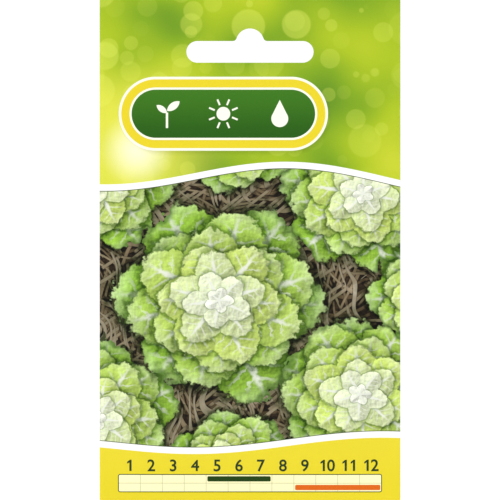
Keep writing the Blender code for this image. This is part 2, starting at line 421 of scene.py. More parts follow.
    def bump(self, height: Wire, depth: float) -> Wire:
        """A surface normal that a height from 0 to 1 tilts, depth being the height of 1 in metres."""
        return self.node("ShaderNodeBump", {}, {"Strength": 1.0, "Distance": depth, "Height": height})

    def set(self, **values: float | tuple | Wire) -> None:
        """Sets the shader's sockets.

        Args:
            values: Values or wires for the sockets, by their names with _ for a space.
        """
        for name, value in values.items():
            socket = self.shader.inputs[name.replace("_", " ")]
            if isinstance(value, Wire):
                self.tree.links.new(value.socket, socket)
            else:
                socket.default_value = value


class Print:
    """A print in the making: where a point of the paper lies on it, and its colour there so far."""

    def __init__(self, bench: Bench, across: Wire, up: Wire, colour: Colour) -> None:
        """Starts a print.

        Args:
            bench: The material's bench.
            across: Millimetres to the right of the packet's middle line, as one reads the print.
            up: Millimetres above the packet's bottom edge.
            colour: The colour that the print starts from.
        """
        self.bench = bench
        self.across = across
        self.up = up
        self.colour = colour

    @classmethod
    def on_panel(cls, name: str, bottom: float, colour: tuple, facing: int = 1) -> "Print":
        """Starts the print of one panel of the packet.

        Args:
            name: Its material's name.
            bottom: The height of the packet's bottom edge, in metres.
            colour: The colour that the print starts from.
            facing: 1 if it is read from the front and -1 from behind.

        Returns:
            The print.
        """
        bench = Bench(name)
        x, _, z = bench.parts(bench.place())
        return cls(bench, x / (facing * MM), z / MM - bottom / MM, colour)

    def fresh(self, colour: Colour) -> "Print":
        """Another print of the same place, from another colour."""
        return Print(self.bench, self.across, self.up, colour)

    def lay(self, mask: Amount, ink: Colour, way: Blend = Blend.COVER) -> None:
        """Lays a colour on the print, as strongly as a mask says."""
        self.colour = self.bench.mix(mask, self.colour, ink, way)

    def off(self, across: float, up: float) -> tuple[Wire, Wire]:
        """How far the point lies to the right of a place on the print, and how far above it."""
        return self.across - across, self.up - up


@dataclass(frozen=True)
class CoatedPaper:
    """The satin finish of printed paper under a thin varnish."""

    roughness: float = 0.5
    blotch_roughness: float = 0.10  # how much the roughness changes over the varnish's slow blotches
    fibre_roughness: float = 0.08  # and from fibre to fibre
    gloss: float = 0.10
    varnish: float = 0.04
    varnish_roughness: float = 0.25
    fibre_size: float = 0.35 * MM
    fibre_depth: float = 0.004 * MM
    blotch_size: float = 14 * MM
    fold: float = 47.86  # millimetres from the middle line to the folds, where the ink wears off first
    fold_softness: float = 0.06
    wear: float = 0.18
    worn: tuple = srgb(250, 250, 240)

    def dress(self, picture: Print) -> bpy.types.Material:
        """Puts a print under the varnish, a little worn along the packet's folds.

        Args:
            picture: The finished print.

        Returns:
            The finished material.
        """
        bench = picture.bench
        where = bench.place()
        fibre = bench.clouds(where, self.fibre_size, detail=3.0, rough=0.6)
        blotch = bench.clouds(where, self.blotch_size)
        aside = abs(bench.parts(where)[0]) / MM
        at_fold = aside.rise(self.fold - self.fold_softness, self.fold + self.fold_softness, self.wear)
        uneven = (blotch - 0.5) * self.blotch_roughness + (fibre - 0.5) * self.fibre_roughness
        bench.set(
            Base_Color=bench.mix(at_fold * fibre.rise(0.5, 0.65), picture.colour, self.worn),
            Roughness=uneven + self.roughness,
            Specular_IOR_Level=self.gloss,
            Coat_Weight=self.varnish,
            Coat_Roughness=self.varnish_roughness,
            Normal=bench.bump(fibre, self.fibre_depth),
        )
        return bench.material


@dataclass(frozen=True)
class BarePaper:
    """Unprinted white paper, inside the envelope and on its cut edges."""

    colour: tuple = srgb(243, 242, 236)
    speck: tuple = srgb(228, 225, 214)
    roughness: float = 0.85
    fibre_roughness: float = 0.1
    fibre_size: float = 0.4 * MM
    fibre_depth: float = 0.008 * MM

    def material(self) -> bpy.types.Material:
        """Makes the white paper with its fine fibres.

        Returns:
            The material.
        """
        bench = Bench("bare_paper")
        fibre = bench.clouds(bench.place(), self.fibre_size, detail=4.0, rough=0.65)
        bench.set(
            Base_Color=bench.mix(fibre.rise(0.45, 0.75, top=0.6), self.colour, self.speck),
            Roughness=(fibre - 0.5) * self.fibre_roughness + self.roughness,
            Normal=bench.bump(fibre, self.fibre_depth),
        )
        return bench.material


@dataclass(frozen=True)
class PrintedInk:
    """The film of dark ink that the numbers are printed in."""

    colour: tuple = srgb(26, 52, 10)
    thin: tuple = srgb(44, 74, 20)
    roughness: float = 0.42
    grain_roughness: float = 0.12
    grain_size: float = 0.3 * MM
    gloss: float = 0.3

    def material(self) -> bpy.types.Material:
        """Makes the ink, which is a little thinner in places.

        Returns:
            The material.
        """
        bench = Bench("printed_ink")
        grain = bench.clouds(bench.place(), self.grain_size, detail=3.0, rough=0.6)
        bench.set(
            Base_Color=bench.mix(grain.rise(0.5, 0.7, top=0.5), self.colour, self.thin),
            Roughness=(grain - 0.5) * self.grain_roughness + self.roughness,
            Specular_IOR_Level=self.gloss,
        )
        return bench.material


@dataclass(frozen=True)
class SachetFoil:
    """Aluminium foil with crimped seals."""

    colour: tuple = srgb(206, 207, 208)
    # painted shade: a darker grey laid over the crimped rim and along the crease lines
    dull: tuple = srgb(188, 189, 192)
    roughness: float = 0.18
    brush_roughness: float = 0.06
    wander_roughness: float = 0.12
    brush_size: float = 0.6 * MM
    crimp: float = 1.6 * MM  # from one crimp to the next
    crimp_depth: float = 0.16 * MM
    crimp_softness: float = 0.3 * MM  # over which the crimps run out at the seal's inner edge
    plain_edge: tuple[float, float] = (0.6 * MM, 1.0 * MM)  # from the cut edge to where they begin
    crease_size: float = 11 * MM
    crease_depth: float = 0.7 * MM
    wander_size: float = 9 * MM  # the size of the slow blots that the creases come and go with

    def material(self, low: Vector, high: Vector, seal: float) -> bpy.types.Material:
        """Makes the foil.

        Args:
            low: The sachet's lowest corner.
            high: Its highest corner.
            seal: The width of its sealed rim.

        Returns:
            The material, crimped over the rim and creased in between.
        """
        bench = Bench("sachet_foil")
        where = bench.place()
        x, _, z = bench.parts(where)
        half_width, half_height = (high.x - low.x) / 2, (high.z - low.z) / 2
        inner = (half_width - abs(x)).at_most(half_height - abs(z - (low.z + high.z) / 2))
        sealed = inner.fall(seal - self.crimp_softness, seal + self.crimp_softness)
        rim = sealed * inner.rise(*self.plain_edge)
        turn = math.tau / self.crimp
        ridges = ((x * turn).sine() * (z * turn).sine() * 0.5 + 0.5) * rim
        wander = bench.clouds(where, self.wander_size)
        fold = abs(bench.clouds(where, self.crease_size, detail=1.0) - 0.5).fall(0.0, 0.05)
        fold = fold * wander.rise(0.4, 0.6)
        crease = (fold * 0.35 + wander) * (1.0 - rim * 0.8)
        brushed = bench.clouds(where, self.brush_size)
        uneven = (brushed - 0.5) * self.brush_roughness + wander * self.wander_roughness
        bench.set(
            # the base colour carries painted shade over the crimps and along the creases
            Base_Color=bench.mix(ridges * 0.5 + fold * 0.4, self.colour, self.dull),
            Metallic=1.0,
            Roughness=uneven + self.roughness,
            Normal=bench.bump(ridges * (self.crimp_depth / self.crease_depth) + crease, self.crease_depth),
        )
        return bench.material


@dataclass(frozen=True)
class SeedHusk:
    """The dry husk of the seeds, from straw to brown."""

    name: str = "seed_husk"
    pale: tuple = srgb(204, 182, 142)
    dark: tuple = srgb(112, 84, 56)
    mottle_size: float = 1.6 * MM
    fleck_size: float = 0.25 * MM
    fleck_depth: float = 0.03 * MM
    fleck_roughness: float = 0.2
    roughness: float = 0.78

    def material(self) -> bpy.types.Material:
        """Makes the mottled husk with its fine flecks.

        Returns:
            The material.
        """
        bench = Bench(self.name)
        where = bench.place()
        mottle = bench.clouds(where, self.mottle_size)
        fleck = bench.clouds(where, self.fleck_size, detail=3.0, rough=0.65)
        darkness = mottle.rise(0.3, 0.68) * 0.75 + (fleck - 0.4) * 0.6
        bench.set(
            Base_Color=bench.mix(darkness, self.pale, self.dark),
            Roughness=(fleck - 0.5) * self.fleck_roughness + self.roughness,
            Normal=bench.bump(fleck, self.fleck_depth),
        )
        return bench.material


class Pictogram(Enum):
    """The growing hints that stand where words would, each about 7 units high."""

    SPROUT = "sprout"
    SUN = "sun"
    DROP = "drop"
    WARMTH = "warmth"

    def mask(self, x: Wire, y: Wire) -> Wire:
        """The mask of the pictogram.

        Args:
            x: Units to the right of the pictogram's middle.
            y: Units above it.

        Returns:
            The mask.
        """
        shapes = {
            Pictogram.SPROUT: self._sprout,
            Pictogram.SUN: self._sun,
            Pictogram.DROP: self._drop,
            Pictogram.WARMTH: self._warmth,
        }
        return shapes[self](x, y)

    @staticmethod
    def _sprout(x: Wire, y: Wire) -> Wire:
        """Two leaves on a stem, each leaf the overlap of two round bows.

        Args:
            x: Units to the right of the middle.
            y: Units above it.

        Returns:
            The mask.
        """
        shape = x.inside(0.28, soft=0.15) * (y + 1.6).inside(1.9, soft=0.2)
        for side, lift, size in ((1.0, 0.7, 1.0), (-1.0, 0.2, 0.82)):
            along = (x * (0.80 * side) + (y - lift) * 0.60) / size
            aslant = (x * (-0.60 * side) + (y - lift) * 0.80) / size
            from_bow = x.bench.length(along - 1.95, abs(aslant) + 1.7)
            shape = shape.at_least(from_bow.fall(2.5, 2.65))
        return shape

    @staticmethod
    def _sun(x: Wire, y: Wire) -> Wire:
        """A disc with eight rays.

        Args:
            x: Units to the right of the middle.
            y: Units above it.

        Returns:
            The mask.
        """
        radius = x.bench.length(x, y)
        ray_turn = (y.math("ARCTAN2", x) * (8 / math.tau)) % 1.0 - 0.5
        rays = (ray_turn * radius).inside(0.28, soft=0.14) * (radius - 3.05).inside(0.75, soft=0.15)
        return radius.fall(1.6, 1.75).at_least(rays)

    @staticmethod
    def _drop(x: Wire, y: Wire) -> Wire:
        """A drop of water: a disc with a cone on it.

        Args:
            x: Units to the right of the middle.
            y: Units above it.

        Returns:
            The mask.
        """
        disc = x.bench.length(x, y + 1.2).fall(2.0, 2.15)
        above = y + 0.2
        cone = (abs(x) + above * 0.5).fall(1.72, 1.88) * above.filled(0.1)
        return disc.at_least(cone)

    @staticmethod
    def _warmth(x: Wire, y: Wire) -> Wire:
        """A thermometer: a bulb under a glass tube, with its column and scale.

        Args:
            x: Units to the right of the middle.
            y: Units above it.

        Returns:
            The mask.
        """
        bench = x.bench
        bulb = bench.length(x, y + 2.2).fall(1.45, 1.6)
        tube = bench.plate(x, y - 0.6, 1.05, 3.1, 1.05).inside(0.17)
        column = bench.plate(x, y + 0.3, 0.36, 2.2, 0.36).filled()
        scale = ((y % 1.2) - 0.6).inside(0.13) * (x - 2.0).inside(0.5) * (y - 1.2).inside(1.9)
        return bulb.at_least(tube).at_least(column).at_least(scale)


@dataclass(frozen=True)
class Rosette:
    """A head of loose leaves seen from above, with its middle and its radius in print millimetres."""

    across: float
    up: float
    radius: float
    turn: float  # how far it is turned, as a share of a whole turn, which also sets its random draws


@dataclass(frozen=True)
class LeafRing:
    """One ring of a rosette's leaves. Its sizes are shares of the rosette's radius."""

    number: int
    leaves: int
    reach: float
    half_width: float
    age: float  # 1 for the outermost leaves and 0 for the heart's

    @property
    def turn(self) -> float:
        """How far the ring is turned, in leaf widths: every other ring by half a leaf, and on a little."""
        return 0.5 * (self.number % 2) + 0.17 * self.number

    @property
    def seed(self) -> float:
        """What the ring's random draws start from."""
        return 1.7 * self.number


@dataclass(frozen=True)
class LeafShadow:
    """A shadow that a leaf casts round itself, by how far inside the leaf's edge a point lies."""

    start: float
    full: float
    strength: float  # under the heart's leaves


@dataclass(frozen=True)
class Straw:
    """One strewing of straw: the way that its stalks lie, in degrees, and its colours."""

    turn: float
    pale: tuple
    dark: tuple


@dataclass(frozen=True)
class Ground:
    """What the printed rosettes are drawn from at one point of the picture."""

    radius: Wire  # from the rosette's middle, in its radii
    share: Wire  # the way round it, as a share of a whole turn
    turn: Wire  # the rosette's own turn
    light: Wire  # how much the slope away from the rosette's middle faces the light
    cross_light: Wire  # and a slope at right angles to that
    blisters: Wire  # how much the leaf's fine blisters face it
    frill: Wire  # noise that frills the leaves' edges


@dataclass(frozen=True)
class LeafPoint:
    """Where a point lies on the nearest leaf of a ring."""

    along: Wire  # 0 at the rosette's middle and 1 at the leaf's tip
    across: Wire  # 0 at the leaf's rib, and 1 or -1 at its widest
    inside: Wire  # how far inside the leaf's frilled edge
    tone: Wire  # a random number for each leaf


@dataclass(frozen=True)
class LeafBed:
    """The printed picture: a bed of leafy rosettes on straw mulch. Lengths are in millimetres."""

    rosettes: tuple[Rosette, ...] = (
        Rosette(-10.0, 64.0, 39.0, 0.05),
        Rosette(36.0, 98.0, 30.0, 0.77),
        Rosette(35.0, 34.0, 32.0, 0.43),
        Rosette(-50.0, 102.0, 29.0, 0.31),
        Rosette(-49.0, 26.0, 30.0, 0.9),
        Rosette(-5.0, 118.0, 25.0, 0.55),
        Rosette(-7.0, 10.0, 24.0, 0.61),
        Rosette(59.0, 66.0, 24.0, 0.12),
    )
    straws: tuple[Straw, ...] = (
        Straw(12.0, srgb(160, 138, 108), srgb(110, 92, 70)),
        Straw(-47.0, srgb(188, 166, 134), srgb(132, 112, 86)),
        Straw(66.0, srgb(212, 192, 160), srgb(156, 134, 106)),
        Straw(-19.0, srgb(230, 214, 184), srgb(178, 156, 126)),
        Straw(38.0, srgb(242, 230, 204), srgb(200, 178, 146)),
        Straw(-72.0, srgb(250, 240, 220), srgb(218, 198, 166)),
    )
    crumb_size: float = 3.0
    stalk_length: float = 17.0
    stalk_width: float = 1.5
    sweep: float = 26.0  # the size of the slow bends in the straw, and how far they carry it
    ring_count: int = 7
    flatness: float = 0.93  # a rosette's height, as a share of its width
    spin: float = 5.3  # how many leaf widths the rings of a rosette are turned on, for a turn of 1
    leaf_width: float = 0.44  # half of a leaf's width, as a share of its reach
    waist: float = 0.42  # how far along a leaf its round end begins
    shortest: float = 0.82  # the shortest leaf's reach, as a share of the longest's
    sway: float = 0.14  # how far leaves lie from their places, in leaf widths
    frill_size: float = 2.4
    frill_depth: float = 0.42
    ragged_size: float = 5.0
    raggedness: float = 9.0  # how far the line between two rosettes strays
    blister_size: float = 3.6
    blister_step: float = 0.45  # how far apart two readings of the blisters give their slope
    light_from: tuple[float, float] = (-0.66, 0.75)  # across and up
    evenness: float = 0.92  # a leaf's brightness out of the light, to which the next four add
    dome_light: float = 0.10
    fold_light: float = 0.16
    blister_light: float = 2.1
    tone_light: float = 0.24
    side_veins: float = 6.5  # how many there are along a leaf
    vein_slant: float = 2.3
    vein_wander: float = 0.8
    rib_half: float = 0.18
    rib_taper: float = 0.17
    rib_wander: float = 0.16
    leaf_shadows: tuple[LeafShadow, ...] = (LeafShadow(-0.4, 0.05, 0.18), LeafShadow(-0.14, 0.0, 0.40))
    shadow_growth: float = 0.34  # how much stronger the shadows are under the oldest leaves
    soil_dark: tuple = srgb(24, 18, 13)
    soil_pale: tuple = srgb(108, 88, 70)
    shadow: tuple = srgb(84, 122, 16)
    gloom: tuple = srgb(112, 106, 84)
    vein: tuple = srgb(234, 237, 226)
    young: tuple = srgb(234, 237, 221)
    grown: tuple = srgb(188, 208, 106)
    old: tuple = srgb(144, 186, 62)

    def rings(self) -> list[LeafRing]:
        """The rings of leaves.

        Returns:
            The rings from the outermost, which lies lowest, to the heart.
        """
        made = []
        for number in range(self.ring_count):
            age = 1 - number / (self.ring_count - 1)
            reach = 0.13 + 0.87 * age**0.9
            leaves = 6 if age > 0.4 else 5
            made.append(LeafRing(number, leaves, reach, reach * self.leaf_width, age))
        return made

    def green(self, age: float) -> tuple:
        """The colour of a leaf.

        Args:
            age: From 0, the youngest, to 1, the oldest.

        Returns:
            The colour.
        """
        if age < 0.5:
            return between(self.young, self.grown, age / 0.5)
        return between(self.grown, self.old, (age - 0.5) / 0.5)

    def paint(self, picture: Print) -> None:
        """Paints the bed over a print that starts as dark soil.

        Args:
            picture: The print.
        """
        point = picture.bench.combine(picture.across, picture.up)
        self._strew(picture, point)
        local, turn, nearest, second = self._nearest(point)
        picture.lay(nearest.fall(0.98, 1.24, top=0.8), self.gloom, Blend.DARKEN)
        ground = self._ground(point, local, turn)
        leafy = 0.0
        for ring in self.rings():
            leafy = self._lay_ring(picture, ring, ground).at_least(leafy)
        valley = (second - nearest).fall(0.0, 0.16, top=0.8)
        picture.lay(valley * leafy, self.shadow, Blend.DARKEN)

    def _strew(self, picture: Print, point: Wire) -> None:
        """Strews the soil with crumbs and straw.

        Args:
            picture: The print.
            point: The point on it.
        """
        bench = picture.bench
        crumb = bench.clouds(point, self.crumb_size, detail=5.0, rough=0.7)
        picture.lay(crumb.rise(0.35, 0.72), self.soil_pale)
        swept = bench.clouds(point, self.sweep, detail=1.0) * self.sweep
        bent = bench.vector_math("ADD", {0: point, 1: bench.combine(swept, swept)})
        for straw in self.straws:
            turn = (0.0, 0.0, math.radians(straw.turn))
            size = (self.stalk_length, self.stalk_width, 1.0)
            inputs = {"Vector": bent, "Rotation": turn, "Scale": size}
            laid = bench.node("ShaderNodeMapping", {"vector_type": "TEXTURE"}, inputs)
            edge, luck = bench.cells(laid, 1.0, CellShape.SQUARE)
            edge = edge + luck.fall(0.40, 0.44)  # the unlucky places stay bare
            shadow, stalk = edge.fall(0.32, 0.46, top=0.6), edge.fall(0.29, 0.34)
            picture.lay(shadow, self.soil_dark, Blend.DARKEN)
            picture.lay(stalk, bench.mix(luck * 0.9 + edge * 1.3 - 0.58, straw.pale, straw.dark))

    def _nearest(self, point: Wire) -> tuple[Wire, Wire, Wire, Wire]:
        """Finds the rosette that a point belongs to, which is the nearest one for its size.

        Args:
            point: The point on the print.

        Returns:
            The point in the rosette's radius units, the rosette's turn, and how far off the nearest and
            the second nearest rosette are, each in its own radii.
        """
        bench = point.bench
        far = 9.0
        local, turn, nearest, second = (far, far, 0.0), 0.0, far, far
        cloud_colour = bench.also(bench.clouds(point, self.ragged_size), "Color")
        stray = bench.vector_math("SUBTRACT", {0: cloud_colour, 1: (0.5, 0.5, 0.5)})
        spread = (self.raggedness, self.raggedness, 0.0)
        ragged = bench.vector_math("MULTIPLY_ADD", {0: stray, 1: spread, 2: point})
        for rosette in self.rosettes:
            size = (1 / rosette.radius, 1 / (rosette.radius * self.flatness), 0.0)
            middle = (-rosette.across * size[0], -rosette.up * size[1], 0.0)
            here = bench.vector_math("MULTIPLY_ADD", {0: point, 1: size, 2: middle})
            away = bench.vector_math("MULTIPLY_ADD", {0: ragged, 1: size, 2: middle})
            distance = bench.vector_math("LENGTH", {0: away}, 1)
            closer = distance.math("LESS_THAN", nearest)
            local = bench.choose_vector(closer, local, here)
            turn = bench.choose(closer, turn, rosette.turn)
            second = distance.at_least(nearest).at_most(second)
            nearest = distance.at_most(nearest)
        return local, turn, nearest, second

    def _ground(self, point: Wire, local: Wire, turn: Wire) -> Ground:
        """Works out what the leaves are drawn from.

        Args:
            point: The point on the print.
            local: The point in its rosette's radius units.
            turn: The rosette's turn.

        Returns:
            The ground at the point.
        """
        bench = point.bench
        step = (self.blister_step, -self.blister_step, 0.0)
        stepped = bench.vector_math("ADD", {0: point, 1: step})
        heights = [bench.clouds(at, self.blister_size, detail=4.0, rough=0.58) for at in (point, stepped)]
        x, y, _ = bench.parts(local)
        radius = bench.length(x, y)
        safe_radius = radius.at_least(0.01)
        light_across, light_up = self.light_from
        return Ground(
            radius=radius,
            share=bench.math("ARCTAN2", y, x) / math.tau + turn,
            turn=turn,
            light=(y * light_up + x * light_across) / safe_radius,
            cross_light=(x * light_up - y * light_across) / safe_radius,
            blisters=heights[0] - heights[1],
            frill=bench.clouds(point, self.frill_size, detail=3.0, rough=0.55),
        )

    def _lay_ring(self, picture: Print, ring: LeafRing, ground: Ground) -> Wire:
        """Lays one ring of leaves, and their shadows first, over what is there.

        Args:
            picture: The print.
            ring: The ring.
            ground: What the leaves are drawn from.

        Returns:
            The mask of the leaves.
        """
        leaf = self._leaf_point(picture.bench, ring, ground)
        for cast in self.leaf_shadows:
            strength = cast.strength + self.shadow_growth * ring.age
            picture.lay(leaf.inside.rise(cast.start, cast.full, strength), self.shadow, Blend.DARKEN)
        mask = leaf.inside.rise(0.0, 0.07)
        picture.lay(mask, self._leaf_colour(picture.bench, ring, ground, leaf))
        return mask

    def _leaf_point(self, bench: Bench, ring: LeafRing, ground: Ground) -> LeafPoint:
        """Works out where a point lies on the nearest leaf of a ring.

        Args:
            bench: The material's bench.
            ring: The ring.
            ground: What the leaves are drawn from.

        Returns:
            The place on the leaf.
        """
        turned = (ground.share * ring.leaves + (ground.turn * self.spin + ring.turn)) % ring.leaves
        number = turned.floor()
        length, swing, tone = bench.draw(bench.combine(number, ground.turn, ring.seed))
        aside = turned - number - 0.5 + (swing - 0.5) * self.sway
        reach = length * ((1 - self.shortest) * ring.reach) + self.shortest * ring.reach
        along = ground.radius / reach
        across = aside * ground.radius * (math.tau / ring.leaves / ring.half_width)
        round_end = 1 - self.waist
        beyond_waist = (along / round_end - self.waist / round_end).at_least(0.0)
        edge = (ground.frill - 0.5) * self.frill_depth + 1.0
        return LeafPoint(along, across, edge - bench.length(beyond_waist, across), tone)

    def _leaf_colour(self, bench: Bench, ring: LeafRing, ground: Ground, leaf: LeafPoint) -> Wire:
        """Colours a leaf, with its light, its veins and its rib.

        Args:
            bench: The material's bench.
            ring: The leaf's ring.
            ground: What the leaves are drawn from.
            leaf: The place on the leaf.

        Returns:
            The leaf's colour.
        """
        green = self.green(ring.age)
        foot = between(green, self.shadow, 0.62 - 0.3 * (1 - ring.age))
        tip = between(green, self.young, 0.3)
        stops = ((0.0, foot), (0.42, between(green, foot, 0.4)), (0.8, green), (1.0, tip))
        half = leaf.across.rise(-0.12, 0.12, top=2.0) - 1.0  # -1 left of the rib and 1 right of it
        lit = ground.light * self.dome_light + half * ground.cross_light * self.fold_light
        glow = lit + ground.blisters * self.blister_light + leaf.tone * self.tone_light + self.evenness
        colour = bench.vector_math("SCALE", {0: bench.ramp(leaf.along, stops), "Scale": glow})
        off_rib = abs(leaf.across + (ground.frill - 0.5) * self.rib_wander)
        phase = leaf.along * self.side_veins - off_rib * self.vein_slant + ground.frill * self.vein_wander
        veins = (phase * math.tau).sine().rise(0.62, 1.0, top=0.5) * leaf.inside.rise(0.08, 0.4)
        rib = (off_rib - self.rib_half + leaf.along * self.rib_taper).fall(-0.05, 0.04, top=0.9)
        colour = bench.mix(veins, colour, self.vein)
        return bench.mix(rib * leaf.along.fall(0.72, 1.02), colour, self.vein)


@dataclass(frozen=True)
class Wave:
    """A wavy border across the print, in millimetres."""

    height: float
    swing: float
    length: float
    shift: float
    slope: float = 0.0

    def above(self, picture: Print) -> Wire:
        """How far a point of a print lies above the wave."""
        swing = (picture.across * (math.tau / self.length) + self.shift).sine() * self.swing
        return picture.up - swing - (picture.across * self.slope + self.height)


@dataclass(frozen=True)
class SunlitGreen:
    """Blurred foliage with light spots in it and the glow of a low sun in one place, in millimetres."""

    sun_across: float
    sun_up: float
    blot_size: float = 34.0
    contrast: float = 1.25
    spots: tuple[tuple[float, float], ...] = ((15.0, 0.3), (9.0, 0.22))  # their spacing and strength
    largest_spot: float = 0.38  # its radius, as a share of the spacing
    haze_radius: float = 34.0
    sun_radius: float = 13.0
    greens: tuple = (
        (0.20, srgb(78, 132, 36)),
        (0.38, srgb(130, 168, 34)),
        (0.56, srgb(170, 194, 36)),
        (0.78, srgb(204, 212, 52)),
    )
    spot: tuple = srgb(230, 240, 100)
    haze: tuple = srgb(246, 240, 96)
    sun: tuple = srgb(255, 254, 214)

    def colour(self, picture: Print) -> Wire:
        """Paints the foliage.

        Args:
            picture: The print that it is meant for, which isn't changed.

        Returns:
            The foliage's colour.
        """
        bench = picture.bench
        point = bench.combine(picture.across, picture.up)
        paler_left = picture.across.fall(-46.0, -14.0, top=0.16)
        tone = bench.clouds(point, self.blot_size, detail=1.0) * self.contrast + paler_left - 0.14
        foliage = picture.fresh(bench.ramp(tone, self.greens))
        for spacing, strength in self.spots:
            distance, luck = bench.cells(point, spacing)
            room = bench.cell_room(point, spacing).at_most(self.largest_spot)
            foliage.lay((distance - room).fall(-0.05, 0.0, strength) * luck, self.spot)
        off_sun = bench.length(*picture.off(self.sun_across, self.sun_up))
        foliage.lay(off_sun.fall(0.0, self.haze_radius, top=0.7), self.haze)
        foliage.lay(off_sun.fall(0.0, self.sun_radius, top=0.95), self.sun)
        return foliage.colour


@dataclass(frozen=True)
class Label:
    """A dark oblong label with round ends, which carries three pictograms, in millimetres."""

    across: float = -8.5
    up: float = 123.5
    half_length: float = 30.0
    half_height: float = 8.4
    band: float = 2.6
    white_line: float = 0.8
    hairline: float = 0.35  # half of the fine line's width, and how far inside the edge it runs
    spread: float = 18.0
    pictogram_size: float = 1.3
    shadow_past: tuple[float, float] = (0.6, -0.9)  # how far right and up the shadow lies
    shadow_softness: float = 2.0
    ink: tuple = srgb(38, 92, 18)
    ink_light: tuple = srgb(62, 120, 28)
    line: tuple = srgb(252, 253, 236)
    yellow: tuple = srgb(233, 212, 44)
    shadow: tuple = srgb(70, 90, 20)
    pictograms: tuple[Pictogram, ...] = (Pictogram.SPROUT, Pictogram.SUN, Pictogram.DROP)

    def paint(self, picture: Print) -> None:
        """Lays the label and its shadow over a print.

        Args:
            picture: The print.
        """
        bench = picture.bench
        x, y = picture.off(self.across, self.up)
        half = self.half_height
        aside, above = self.shadow_past
        shaded = bench.plate(x - aside, y - above, self.half_length, half, half)
        shadow = shaded.rise(-self.band - self.shadow_softness, 0.0, top=0.6)
        picture.lay(shadow, self.shadow, Blend.DARKEN)
        inner = bench.plate(x, y, self.half_length, half, half)
        picture.lay((inner + self.band + self.white_line).filled(0.1), self.line)
        picture.lay((inner + self.band).filled(0.1), self.yellow)
        face = picture.fresh(bench.mix(y.rise(-half, half), self.ink, self.ink_light))
        face.lay((inner - self.hairline).inside(self.hairline), self.line)
        for place, pictogram in enumerate(self.pictograms):
            aside = x - self.spread * (place - (len(self.pictograms) - 1) / 2)
            mask = pictogram.mask(aside / self.pictogram_size, y / self.pictogram_size)
            face.lay(mask, self.line)
        picture.lay(inner.filled(0.1), face.colour)


@dataclass(frozen=True)
class Calendar:
    """Two rows of months with a bar for sowing and one for picking, under their numbers, in millimetres."""

    left: float = -42.0
    pitch: float = 7.0
    base: float = 2.8
    row: float = 2.8
    corner: float = 0.6
    digit_height: float = 3.6
    digit_gap: float = 1.1  # from the rows to the numbers
    months: int = 12
    sowing: tuple[int, int] = (5, 7)
    picking: tuple[int, int] = (9, 12)
    bar_gap: float = 0.4  # from a bar's end to its month's
    bar_half: float = 0.85
    bar_corner: float = 0.4
    ink: tuple = srgb(32, 64, 16)
    fruit: tuple = srgb(222, 104, 24)
    field: tuple = srgb(255, 250, 200)

    @property
    def digit_foot(self) -> float:
        """The height of the numbers' foot above the packet's bottom edge."""
        return self.base + 2 * self.row + self.digit_gap

    def middle(self, month: int) -> float:
        """The place of a month's middle across the print."""
        return self.left + self.pitch * (month - 0.5)

    def paint(self, picture: Print) -> None:
        """Lays the rows of months over a print.

        Args:
            picture: The print.
        """
        bench = picture.bench
        half = self.months / 2 * self.pitch
        x, y = picture.across - (self.left + half), picture.up - self.base - self.row
        edge = bench.plate(x, y, half, self.row, self.corner)
        table = edge.filled()
        picture.lay(table, self.field)
        cell = ((picture.across - self.left) / self.pitch + 0.5) % 1.0 - 0.5
        rules = (cell * self.pitch).inside(0.08).at_least(y.inside(0.08))
        frame_line = edge.inside(0.14)
        picture.lay((rules * table * 0.5).at_least(frame_line), self.ink)
        for level, (first, last), ink in ((0.5, self.sowing, self.ink), (-0.5, self.picking, self.fruit)):
            start, end = self.middle(first), self.middle(last)
            off_bar = picture.across - (start + end) / 2, y - level * self.row
            half_bar = (end - start + self.pitch) / 2 - self.bar_gap
            bar = bench.plate(*off_bar, half_bar, self.bar_half, self.bar_corner)
            picture.lay(bar.filled(), ink)


@dataclass(frozen=True)
class FrontPrint:
    """The front of the packet: a sunlit green header, the picture, and a yellow foot with the months."""

    bottom: float
    bed: LeafBed = LeafBed()
    foliage: SunlitGreen = SunlitGreen(-36.0, 112.0)
    label: Label = Label()
    calendar: Calendar = Calendar()
    header_edge: Wave = Wave(103.5, 4.2, 122.0, 0.9, -0.02)
    foot_edge: Wave = Wave(18.4, 2.0, 108.0, -0.7, 0.02)
    header_band: float = 1.4  # how far the header's white band reaches below its edge
    foot_band: float = 1.0  # and the foot's above its own
    white: tuple = srgb(255, 255, 252)
    outline: tuple = srgb(46, 66, 24)
    foot: tuple = FOOT_YELLOW
    foot_light: tuple = srgb(234, 216, 52)

    def material(self) -> bpy.types.Material:
        """Makes the varnished front print.

        Returns:
            The material.
        """
        front = Print.on_panel("front_print", self.bottom, self.bed.soil_dark)
        self.bed.paint(front)
        above_header_edge = self.header_edge.above(front)
        self._lay_field(front, above_header_edge + self.header_band, self.foliage.colour(front))
        self.label.paint(front)
        foot = front.fresh(self.foot)
        foot.lay(front.up.rise(3.0, 20.0), self.foot_light)
        self.calendar.paint(foot)
        above_foot_edge = self.foot_edge.above(front)
        self._lay_field(front, self.foot_band - above_foot_edge, foot.colour)
        return CoatedPaper().dress(front)

    def _lay_field(self, picture: Print, past: Wire, field: Wire) -> None:
        """Lays a field over part of the picture, behind a white band with a thin dark outline.

        Args:
            picture: The print.
            past: How far a point lies past the band's outline, towards the field.
            field: The field's colour.
        """
        picture.lay(past.rise(-0.25, -0.1), self.outline)
        picture.lay(past.rise(-0.05, 0.15), self.white)
        picture.lay(past.rise(2.0, 2.2), field)


